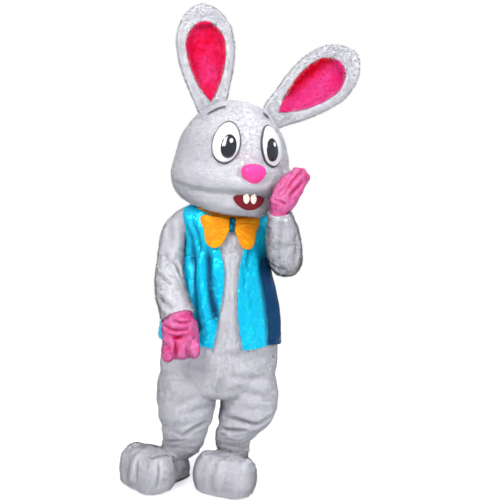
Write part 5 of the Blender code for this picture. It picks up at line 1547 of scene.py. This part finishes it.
class Head:
    """The head's shell, its face and its ears."""

    columns = 168
    steps = 9
    nose_height = 1.515
    nose_size = (0.056, 0.040, 0.044)

    def __init__(self, shop: Workshop) -> None:
        """Works out the head's outline."""
        self.shop = shop
        self.angles = even_angles(self.columns)
        rows = through(HEAD, self.steps)
        sections = np.column_stack([rows[:, 0], np.zeros(len(rows)), np.zeros(len(rows)), rows[:, 1:4]])
        grid = upright(sections, self.angles)
        forward = (0.5 + 0.5 * np.cos(np.radians(self.angles))) ** 2
        grid[:, :, 2] -= rows[:, 4, None] * forward[None, :]
        self.outline = moved_out(grid, relief(grid[:, :, 2], self.angles[None, :], HEAD_FORMS))
        self.turn = np.array(Matrix.Rotation(HEAD_YAW, 3, "Z"))
        self.normals = normals_of(self.outline)

    def at(self, azimuth: float, height: float) -> tuple[np.ndarray, np.ndarray]:
        """A point of the head's outline and the direction out of it, turned with the head."""
        place = (azimuth + 180.0) / 360.0 * self.columns - 0.5
        k, share = int(math.floor(place)) % self.columns, place - math.floor(place)
        after = (k + 1) % self.columns
        points = self.outline[:, k] * (1 - share) + self.outline[:, after] * share
        outs = self.normals[:, k] * (1 - share) + self.normals[:, after] * share
        first = int(np.argmin(points[:, 2]))
        heights = points[first:, 2]
        point = np.array([np.interp(height, heights, points[first:, i]) for i in range(3)])
        out = np.array([np.interp(height, heights, outs[first:, i]) for i in range(3)])
        return self.turn @ point, self.turn @ (out / np.linalg.norm(out))

    def covered(self, points: np.ndarray) -> np.ndarray:
        """1 where the head shows its pile, and 0 under the pieces of the face."""
        own = points @ self.turn
        azimuth = np.degrees(np.arctan2(own[:, 0], -own[:, 1]))
        shown = np.ones(len(points))
        for patch, sign in ((EYES, -1), (EYES, 1), (MOUTH, 1)):
            aside = (azimuth - sign * patch.azimuth) / (patch.half_angle * 0.90)
            up = (points[:, 2] - patch.height) / (patch.half_height * 0.92) - patch.smile * aside ** 2
            shown[aside ** 2 + up ** 2 < 1.0] = 0.0
        return shown

    def lie(self, points: np.ndarray) -> np.ndarray:
        """The pile lies down and away from the nose."""
        away = points - (0.045, -0.29, 1.56)
        away[:, 1] *= 0.4
        away /= np.linalg.norm(away, axis=1, keepdims=True)
        made = away * 0.6 + (0.0, 0.15, -0.75)
        return made / np.linalg.norm(made, axis=1, keepdims=True)

    def build(self) -> None:
        """Builds the shell and its pile, the face and the ears."""
        grid = self.outline + normals_of(self.outline) * (
            lumps(self.outline, 0.09, 0.0030, 71) + lumps(self.outline, 0.03, 0.0010, 72) - PILE_DEPTH)[:, :, None]
        shell = open_wall("head_skin", grid @ self.turn.T, HEAD_WALL, capped=True)
        outer = len(grid) * self.columns
        fur = HEAD_PILE.grow(shell, self.shop.white_pile, 81, self.lie,
                             lambda p, n: self.covered(p) * (np.arange(len(p)) < outer))
        furred(shell, self.shop.white, fur, self.shop.white_pile, "white_plush", ["head"])
        self.build_face()
        for side in Side:
            Ear(self.shop, side).build()

    def patch(self, name: str, patch: Patch, sign: int, under: float, rings: int = 12) -> Object:
        """A domed piece lying on the head."""
        columns = 56
        tops, bottoms = [], []
        for r in range(rings, -1, -1):
            share = max(r / rings, 1e-4)
            for k in range(columns):
                turn = 2 * math.pi * k / columns
                across = share * math.cos(turn)
                up = share * math.sin(turn) + patch.smile * across * across
                point, out = self.at(sign * patch.azimuth + patch.half_angle * across,
                                     patch.height + patch.half_height * up)
                dome = patch.dome * math.sqrt(max(0.0, 1 - share ** 2.6)) + patch.edge * (1 - share ** 14)
                tops.append(point + out * (patch.base - patch.edge + dome))
                bottoms.append(point - out * under)
        points = np.array(tops + bottoms)
        count = (rings + 1) * columns
        faces = quads(rings + 1, columns, True) + quads(rings + 1, columns, True, count)
        faces += [(k, (k + 1) % columns, count + (k + 1) % columns, count + k) for k in range(columns)]
        return welded(add_object(name, points, faces))

    def brow(self, side: Side) -> Object:
        """A short padded stroke of black felt over an eye."""
        path = through(np.array(BROWS[side]), 5)
        share = np.linspace(0.0, 1.0, len(path))
        size = (0.0012 + 0.0034 * np.sin(np.pi * (0.08 + 0.84 * share)))[:, None]
        return closed_form(f"brow_{side.value}", tube(np.hstack([path + (0.0, -0.0020, 0.0020), size, size]), 10))

    def build_face(self) -> None:
        """Builds the eyes, brows, nose, mouth and teeth."""
        shop = self.shop
        for side in Side:
            rim = self.patch(f"eye_rim_{side.value}", EYE_RIMS, side.sign, 0.008)
            eye = self.patch(f"eye_dome_{side.value}", EYES, side.sign, 0.006)
            pupil = self.patch(f"pupil_dome_{side.value}", PUPILS, side.sign, -0.010)
            glint = self.patch(f"glint_{side.value}", GLINTS[side], side.sign, -0.014, 5)
            dressed(rim, shop.eye_rim, "eye_black")
            dressed(eye, shop.eye_white, "eye_white", [f"eye_{side.value}"])
            dressed(pupil, shop.eye_black, "eye_black", [f"pupil_{side.value}"])
            dressed(glint, shop.eye_white, "eye_white")
            tooth = self.patch(f"tooth_form_{side.value}", TEETH, side.sign, 0.002)
            dressed(tooth, shop.tooth, "tooth_white", [f"tooth_{side.value}"])
            dressed(self.brow(side), shop.eye_rim, "eye_black")
        mouth = self.patch("mouth_felt", MOUTH, 1, 0.008, 16)
        dressed(mouth, shop.mouth, "mouth_red", ["mouth"])
        point, out = self.at(0.0, self.nose_height)
        wide, deep, tall = self.nose_size
        grid = []
        around = np.linspace(0, 2 * np.pi, 48, endpoint=False)
        for level in np.linspace(-1.45, 1.45, 26):
            across, up = math.cos(level), math.sin(level)
            taper = 1.0 + 0.16 * up
            grid.append(np.stack([wide * across * taper * np.cos(around), deep * across * np.sin(around),
                                  np.full(len(around), tall * up + 0.004 * across)], axis=1))
        nose = closed_form("nose_form", np.array(grid) @ self.turn.T + point + out * 0.006)
        dressed(nose, shop.nose, "pink_plush", ["nose"])


@dataclass
class Ear:
    """A padded ear with a puffy rim round a dished middle, and the pink lining laid in it."""

    shop: Workshop
    side: Side
    steps: int = 9
    rim_steps: int = 6

    def frame(self) -> tuple[Vector, Vector, Vector, float]:
        """The ear's axis, its width's direction, the way it faces, and its length."""
        axis = EAR_TIPS[self.side] - EAR_BASES[self.side]
        length = axis.length
        axis = axis / length
        facing = (EAR_FACING - axis * EAR_FACING.dot(axis)).normalized()
        return axis, axis.cross(facing), facing, length

    def section(self, row: np.ndarray, rim: np.ndarray) -> tuple[np.ndarray, np.ndarray]:
        """How far aside and out the points of a section lie."""
        aside = (rim[:, 0] + rim[:, 2] * max(row[4], 0.55)) * row[1]
        dished = min(1.0, max(0.0, (row[4] - 0.30) / 0.24))
        out = (rim[:, 1] + rim[:, 3] * 0.45 * (1.0 - dished)) * row[2] / 2 - rim[:, 3] * row[3] * dished
        return aside, out

    def build(self) -> None:
        """Builds the ear, its lining, and the pile of both."""
        axis, across, facing, length = (np.array(v) if isinstance(v, Vector) else v for v in self.frame())
        base = np.array(EAR_BASES[self.side])
        rows = through(EAR, self.steps)
        rim = through(EAR_SECTION, self.rim_steps, closed=True)
        grid = np.zeros((len(rows), len(rim), 3))
        for i, row in enumerate(rows):
            aside, out = self.section(row, rim)
            grid[i] = base + axis * row[0] * length + np.outer(aside, across) + np.outer(out, facing)
        inset = np.interp(rows[:, 2], (0.020, 0.048), (0.0010, 0.0062))[:, None]
        grid = moved_out(grid, lumps(grid, 0.05, 0.0020, 91 + self.side.sign) * inset / 0.0062 - inset)
        ear = closed_form(f"ear_form_{self.side.value}", rounded_end(grid, 0.3))
        way = axis * 0.5 + np.array((0.0, 0.0, -0.35))
        middle = base + axis * 0.5 * length

        def lean_out(points: np.ndarray) -> np.ndarray:
            """The pile leans out to the ear's edge and along it."""
            aside = ((points - middle) @ across)[:, None]
            along = ((points - base) @ axis)[:, None] / length
            beside = np.clip((np.abs(aside) - 0.095) / 0.035, -0.7, 1.0)
            spread = np.where((along > 0.08) & (along < 0.82), beside, np.clip(np.abs(aside) / 0.05, 0.0, 1.0))
            return across[None] * np.sign(aside) * spread * 0.9 + way[None]

        lined = self.lining(base, axis, across, facing, length)

        def shown(points: np.ndarray, normals: np.ndarray) -> np.ndarray:
            """Bare under the lining and inside the head."""
            own = points - base
            along, aside, ahead = own @ axis / length, own @ across, normals @ facing
            width = np.interp(along, EAR_LINING[:, 0], EAR_LINING[:, 1]) * np.interp(along, EAR[:, 0], EAR[:, 1])
            return ((np.abs(aside) > width - 0.001) | (ahead < 0)).astype(float) * (along > -0.02)

        fur = EAR_PILE.grow(ear, self.shop.white_pile, 101 + self.side.sign, lean_out, shown)
        furred(ear, self.shop.white, fur, self.shop.white_pile, "white_plush", [f"ear_{self.side.value}"])
        points, _ = points_of(lined)
        aside, along = (points - middle) @ across, (points - middle) @ axis
        # The lining's darker red is painted shade: all over the right one but for a lighter patch below its middle,
        # and towards one edge of the left one, with random blotches
        if self.side is Side.RIGHT:
            lining_shade = 0.75 - 0.45 * np.exp(-((along + 0.06) / 0.07) ** 2 - (aside / 0.045) ** 2)
        else:
            lining_shade = np.clip(-aside / 0.06, 0.0, 1.0)
        paint_shade(lined, np.clip(lining_shade + lumps(points, 0.02, 0.18, 96), 0.0, 1.0))
        nap = SHORT_PILE.grow(lined, self.shop.rose_pile, 111 + self.side.sign,
                              lambda p: np.tile(axis, (len(p), 1)), lambda p, n: outside_of_wall(lined))
        furred(lined, self.shop.rose, nap, self.shop.rose_pile, "pink_plush", [f"ear_lining_{self.side.value}"])

    def lining(self, base: np.ndarray, axis: np.ndarray, across: np.ndarray, facing: np.ndarray,
               length: float) -> Object:
        """The lining's thin wall in the ear's dish.

        Args:
            base: The ear's base.
            axis: Its axis.
            across: Its width's direction.
            facing: The way it faces.
            length: Its length.

        Returns:
            The wall.
        """
        rows = through(EAR, self.steps)
        rim = through(EAR_SECTION, self.rim_steps, closed=True)
        ease = np.sin(np.linspace(-np.pi / 2, np.pi / 2, 64)) * 0.5 + 0.5
        places = EAR_LINING[0, 0] + (EAR_LINING[-1, 0] - EAR_LINING[0, 0]) * ease
        widths = through(EAR_LINING, 8)
        shares = np.linspace(-1, 1, 41)
        order = np.arange(EAR_DISH_END * self.rim_steps, -1, -1)
        grid = np.zeros((len(places), len(shares), 3))
        for i, along in enumerate(places):
            row = np.array([np.interp(along, rows[:, 0], rows[:, c]) for c in range(5)])
            aside, out = self.section(row, rim)
            half = max(np.interp(along, widths[:, 0], widths[:, 1]), 0.004) * row[1]
            at = shares * half
            height = np.interp(at, aside[order], out[order])
            edge = 1.0 - np.abs(shares) ** 8
            lift = -0.0020 + 0.0018 * edge
            grid[i] = base + axis * along * length + np.outer(at, across) + np.outer(height + lift, facing)
        puff = lumps(grid, 0.03, 0.0012, 95)
        grid = grid + facing[None, None] * puff[:, :, None]
        return open_wall(f"ear_lining_skin_{self.side.value}", grid, PLUSH, wrap=False, facing=facing)


@dataclass
class Waistcoat:
    """Two fronts and a back of crinkled metallic cloth, lying loose on the suit."""

    shop: Workshop
    rows: int = 132
    front_columns: int = 66
    back_columns: int = 110
    stand_off: float = 0.0110
    lowest: float = -0.0115
    collar_drop: float = 0.0075
    clearance: float = 0.0015

    def surface(self, azimuths: np.ndarray, heights: np.ndarray) -> np.ndarray:
        """The form under the cloth: the torso, wider over the shoulders."""
        points = torso_surface(azimuths, heights)
        points[..., 0] *= 1.0 + 0.12 * np.exp(-((heights - 1.285) / 0.060) ** 2)
        return points

    def armhole(self, side: Side, height: float, back: bool) -> float:
        """The azimuth where a panel's edge runs at the side, at a height.

        Args:
            side: Which side of the costume.
            height: The height.
            back: Whether it is the back's edge.

        Returns:
            The azimuth from the front, in degrees, without its sign.
        """
        azimuths = np.arange(30.0, 150.0, 0.5)
        at = self.surface(azimuths * side.sign, np.full(len(azimuths), height))
        steps = 6
        path = through(SLEEVES[side][:6], steps)
        path[:, 3] *= np.interp(np.arange(len(path)) / steps, *SLEEVE_HEAD)
        gap = np.linalg.norm(at[:, None, :] - path[None, :, :3], axis=2) - path[None, :, 3]
        inside = azimuths[gap.min(axis=1) < 0.008]
        if not len(inside):
            return 90.0
        return max(90.0, inside.max()) if back else min(90.0, inside.min())

    def lift(self, azimuths: np.ndarray, heights: np.ndarray, edge: np.ndarray) -> tuple[np.ndarray, np.ndarray]:
        """How far the cloth stands off the suit's outline, and how deep in a fold it lies from 0 to 1, as its painted
        shade.
        """
        moved = relief(heights, azimuths, VEST_FORMS)
        smooth = moved.copy()
        for pleat in VEST_PLEATS:
            share = (pleat.top - heights) / (pleat.top - pleat.low)
            middle = pleat.top_azimuth + (pleat.low_azimuth - pleat.top_azimuth) * share
            middle = middle + 1.6 * np.sin(share * 5.0 + pleat.top_azimuth)
            aside = (azimuths - middle + 180.0) % 360.0 - 180.0
            fade = np.clip(share / 0.22, 0.0, 1.0) * np.clip((1.12 - share) / 0.25, 0.0, 1.0)
            moved = moved + pleat.depth * np.exp(-np.abs(aside / pleat.wide) ** 1.7) * fade
        # Painted shade where pleats sink the cloth below its smooth forms
        deep = np.clip((smooth - moved) / 0.013 - 0.12, 0.0, 1.0)
        low = np.clip((heights - VEST_HEM) / 0.05, 0.0, 1.0)
        moved = moved + 0.004 * (1 - low) ** 2 + 0.003 * edge
        top = np.clip((COLLAR_FROM - heights) / 0.10, 0.0, 1.0)
        return self.stand_off + np.maximum(moved, self.lowest) * top - self.collar_drop * (1 - top), deep

    def panel(self, name: str, inner: np.ndarray, outer: np.ndarray, columns: int, rolled: bool) -> Object:
        """One panel between two edges.

        Args:
            name: The panel's name.
            inner: The azimuth of its first edge at each height.
            outer: The azimuth of its last edge.
            columns: How many points it has across.
            rolled: Whether the first edge is a front edge that rolls a little.

        Returns:
            The panel's wall.
        """
        heights = self.heights()
        share = np.linspace(0, 1, columns)[None, :]
        azimuths = inner[:, None] + (outer - inner)[:, None] * share
        level = np.repeat(heights[:, None], columns, axis=1)
        level = level - 0.006 * np.sin(np.radians(azimuths) * 5.0 + 0.6) * np.clip((0.80 - level) / 0.08, 0, 1)
        grid = self.surface(azimuths, level)
        edge = np.exp(-(share / 0.05) ** 2) * (1.0 if rolled else 0.0) * np.ones_like(level)
        rim = np.exp(-(share / 0.16) ** 2) if rolled else 0.25 * np.ones_like(share)
        rim = np.clip(rim + np.exp(-((level - VEST_HEM) / 0.07) ** 2), 0.0, 1.0)
        fine = (lumps(grid * (1.0, 1.0, 0.6), 0.030, 1.0, 121) * (0.0012 + 0.0022 * rim)
                + lumps(grid * (1.0, 1.0, 0.8), 0.013, 1.0, 122) * (0.0004 + 0.0016 * rim))
        fine = fine * np.clip((COLLAR_FROM - level) / 0.06, 0.2, 1.0)
        lift, deep = self.lift(azimuths, level, edge)
        # Painted shade on the flank that turns from the light, from 38 degrees round to about 112, below 1.20 m
        turned = np.clip((azimuths - 38.0) / 9.0, 0.0, 1.0) * np.clip((112.0 - azimuths) / 32.0, 0.0, 1.0)
        deep = np.maximum(deep, 1.05 * turned * np.clip((1.20 - level) / 0.08, 0.0, 1.0))
        cloth = open_wall(name, moved_out(grid, lift + fine + self.clearance, wrap=False), LAME, wrap=False)
        paint_shade(cloth, np.tile(np.minimum(0.94 * deep.ravel(), 0.95), 2))
        return cloth

    def heights(self) -> np.ndarray:
        """The panels' heights from the hem to the neck."""
        return np.linspace(VEST_HEM, VEST_TOP, self.rows)

    def build(self) -> None:
        """Builds the three panels."""
        heights = self.heights()
        rows = through(TORSO, 8)
        half = np.interp(heights, rows[:, 0], rows[:, 3])
        edges = {}
        for side, column in ((Side.RIGHT, 1), (Side.LEFT, 2)):
            smooth = through(OPENING, 6)
            at = np.interp(heights, smooth[:, 0], smooth[:, column])
            front = np.degrees(np.arcsin(np.clip(at / half, -0.99, 0.99)))
            side_edge = np.array([self.armhole(side, h, False) for h in heights]) - 0.05
            back_edge = np.array([self.armhole(side, h, True) for h in heights]) + 0.05
            edges[side] = (front, side_edge * side.sign, back_edge * side.sign)
        for side in Side:
            front, flank, _ = edges[side]
            panel = self.panel(f"vest_front_cloth_{side.value}", front, flank, self.front_columns, True)
            dressed(panel, self.shop.lame, "blue_satin", [f"vest_front_{side.value}"])
        back = self.panel("vest_back_cloth", edges[Side.LEFT][2], 360.0 + edges[Side.RIGHT][2], self.back_columns,
                          False)
        dressed(back, self.shop.lame, "blue_satin", ["vest_back"])


# Creases of the bow's wings: way out from the knot in radians, width in radians, depth
BOW_CREASES = [
    (-0.70, 0.07, -0.0040), (-0.52, 0.06, 0.0020), (-0.34, 0.06, -0.0040), (-0.12, 0.05, -0.0035),
    (0.06, 0.05, 0.0020), (0.16, 0.05, -0.0030), (-0.95, 0.08, -0.0030), (0.34, 0.06, -0.0020),
]


@dataclass
class Bow:
    """A padded bow: two wings gathered into a knot, on a band round the neck."""

    shop: Workshop
    half_thick: float = 0.0095
    knot_size: tuple[float, float, float] = (0.0165, 0.022, 0.035)
    band_height: float = 1.318

    def wing(self, side: Side) -> Object:
        """One wing, its cloth creased out from the knot."""
        sign = side.sign
        outline = through(BOW_OUTLINE, 8, closed=True) * (sign * (1.0 if sign < 0 else 0.92), 1.0)
        if sign > 0:
            outline = outline[::-1]
        middle = outline.mean(axis=0)
        shares = np.concatenate([1.0 - np.linspace(0, 1, 20)[:-1] ** 1.5 * 0.98, [0.02]])
        points, count = [], len(outline)
        for level in (-1, 1):
            for share in shares:
                at = middle + (outline - middle) * share
                swell = level * (self.half_thick * math.sqrt(max(0.0, 1 - share ** 3.2)))
                reach = np.hypot(at[:, 0] - sign * 0.004, at[:, 1] - 0.002)
                angle = np.arctan2(at[:, 1] - 0.002, np.abs(at[:, 0]))
                pull = np.exp(-(reach / 0.085) ** 2)
                crease = np.zeros(count)
                for way, wide, deep in BOW_CREASES:
                    crease += deep * np.exp(-((angle - way) / wide) ** 2)
                crease = 1.5 * crease * pull * np.clip(reach / 0.03, 0.0, 1.0) * (1 - share ** 6)
                pinch = 1.0 - 0.35 * np.exp(-(reach / 0.03) ** 2)
                out = swell * pinch + level * crease
                front = BOW_CURVE * at[:, 0] ** 2 + 0.24 * np.minimum(at[:, 1], 0.0) - 0.008
                points.append(np.stack([at[:, 0], out + front, at[:, 1]], axis=1) + BOW_CENTRE)
        half = len(shares) * count
        points = np.vstack(points)
        faces = quads(len(shares), count, True) + quads(len(shares), count, True, half)
        faces += [tuple(range(half - count, half)), tuple(range(2 * half - count, 2 * half))]
        return welded(add_object(f"bow_wing_cloth_{side.value}", points, faces))

    def build(self) -> None:
        """Builds the wings, the knot and the band."""
        for side in Side:
            wing = self.wing(side)
            dressed(wing, self.shop.orange, "orange_satin", [f"bow_wing_{side.value}"])
        grid = []
        wide, deep, tall = self.knot_size
        around = np.linspace(0, 2 * np.pi, 56, endpoint=False)
        for level in np.linspace(-1.45, 1.45, 30):
            full = math.cos(level) ** 0.7
            waist = 1.0 - 0.10 * math.cos(level * 2.0)
            ridge = 1.0 + 0.05 * np.cos(around * 7.0 + level)
            grid.append(np.stack([wide * full * waist * ridge * np.cos(around),
                                  deep * full * ridge * np.sin(around) * waist,
                                  np.full(len(around), tall * math.sin(level))], axis=1))
        knot = closed_form("bow_knot_cloth", np.array(grid) + BOW_CENTRE + (0, -0.006, 0))
        dressed(knot, self.shop.teal, "teal_satin", ["bow_knot"])
        azimuths = np.linspace(-54.0, 54.0, 90)[None, :]
        rows = np.linspace(-1, 1, 12)[:, None]
        heights = self.band_height + 0.050 * (1 - np.cos(np.radians(azimuths))) + 0.013 * rows
        band = torso_surface(np.repeat(azimuths, len(rows), axis=0), heights)
        puff = 0.0090 + 0.0025 * (1 - rows ** 2) + 0.0012 * np.sin(rows * 5.0 + np.radians(azimuths) * 9.0)
        band = moved_out(band, puff * np.ones_like(heights), wrap=False)
        strip = open_wall("neckband_cloth", band, 0.002, wrap=False)
        dressed(strip, self.shop.orange, "orange_satin", ["neckband"])


@dataclass
class Studio:
    """The plain pale floor, the lights and the camera."""

    eye: tuple[float, float, float] = (-0.5129, -3.2621, 0.155)
    heading: float = -11.0
    pitch: float = 6.0
    roll: float = 4.0
    lens: float = 49.48
    floor_half: float = 2.8
    floor_glow: float = 0.45

    def light(self, name: str, place: Sequence[float], size: float, power: float, colour: Rgb,
              mirrored: bool = True) -> None:
        """A square soft light that looks at the costume's middle, seen in shiny cloth or not."""
        data = bpy.data.lights.new(name, "AREA")
        data.size, data.energy, data.color = size, power, colour
        lamp = bpy.data.objects.new(name, data)
        lamp.location = place
        lamp.visible_glossy = mirrored
        lamp.rotation_euler = (Vector((0, 0, 0.15)) - Vector(place)).to_track_quat("-Z", "Y").to_euler()
        bpy.context.scene.collection.objects.link(lamp)

    def camera(self) -> None:
        """The camera at the photograph's place."""
        data = bpy.data.cameras.new("camera")
        data.lens, data.sensor_width = self.lens, 36.0
        turn = Matrix.Rotation(math.radians(self.heading), 4, "Z")
        turn = turn @ Matrix.Rotation(math.radians(90.0 - self.pitch), 4, "X")
        turn = turn @ Matrix.Rotation(math.radians(self.roll), 4, "Z")
        camera = bpy.data.objects.new("camera", data)
        camera.matrix_world = Matrix.Translation(self.eye) @ turn
        bpy.context.scene.collection.objects.link(camera)
        bpy.context.scene.camera = camera

    def build(self) -> None:
        """Builds the studio."""
        self.camera()
        edge = self.floor_half
        floor = add_object("floor", np.array([(-edge, -edge, 0), (edge, -edge, 0), (edge, edge, 0), (-edge, edge, 0)]),
                           [(0, 1, 2, 3)])
        look = bpy.data.materials.new("floor")
        look.use_nodes = True
        shader = look.node_tree.nodes["Principled BSDF"]
        shader.inputs["Base Color"].default_value = (0.93, 0.93, 0.94, 1.0)
        shader.inputs["Roughness"].default_value = 0.8
        shader.inputs["Emission Color"].default_value = (1.0, 1.0, 1.0, 1.0)
        backdrop = Tree(look.node_tree)
        seen = backdrop.add("ShaderNodeLightPath").outputs["Is Camera Ray"]
        glow = backdrop.add("ShaderNodeMath", {0: seen, 1: self.floor_glow}, operation="MULTIPLY")
        backdrop.join(glow.outputs["Value"], shader.inputs["Emission Strength"])
        floor.data.materials.append(look)
        world = bpy.data.worlds.new("studio")
        bpy.context.scene.world = world
        world.use_nodes = True
        tree = Tree(world.node_tree)
        sky = world.node_tree.nodes["Background"]
        sky.inputs["Color"].default_value = (0.95, 0.96, 1.0, 1.0)
        sky.inputs["Strength"].default_value = 0.52
        plain = tree.add("ShaderNodeBackground", {"Color": (1.0, 1.0, 1.0, 1.0), "Strength": 1.0})
        dim = tree.add("ShaderNodeBackground", {"Color": (0.75, 0.85, 1.0, 1.0), "Strength": 0.62})
        ray = tree.add("ShaderNodeLightPath")
        first = tree.add("ShaderNodeMixShader", {0: ray.outputs["Is Glossy Ray"], 1: sky.outputs["Background"],
                                                 2: dim.outputs["Background"]})
        shown = tree.add("ShaderNodeMixShader", {0: ray.outputs["Is Camera Ray"], 1: first.outputs["Shader"],
                                                 2: plain.outputs["Background"]})
        tree.join(shown.outputs["Shader"], world.node_tree.nodes["World Output"].inputs["Surface"])
        self.light("key", (-2.0, -2.7, 2.0), 1.3, 90.0, (1.0, 0.99, 0.98))
        self.light("fill", (2.4, -2.7, 1.2), 2.0, 58.0, (0.97, 0.97, 1.0), False)
        self.light("top", (0.2, -0.6, 2.9), 2.0, 26.0, (1.0, 1.0, 1.0))
        self.light("back", (1.6, 3.0, 1.4), 2.2, 34.0, (0.96, 0.97, 1.0), False)
        bpy.context.scene.view_settings.view_transform = "Standard"


def main() -> None:
    """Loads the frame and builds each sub-assembly."""
    logging.basicConfig(level=logging.INFO, format="%(name)s: %(message)s")
    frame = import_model()
    shop = Workshop()
    Studio().build()
    Suit(shop).build()
    Waistcoat(shop).build()
    Bow(shop).build()
    Head(shop).build()
    for side in Side:
        Glove(shop, side).build()
        Foot(shop, side).build()
        sole = frame["nodes"][f"sole_{side.value}"]
        sole.data.materials.clear()
        sole.data.materials.append(shop.sole)


if __name__ == "__main__":
    main()
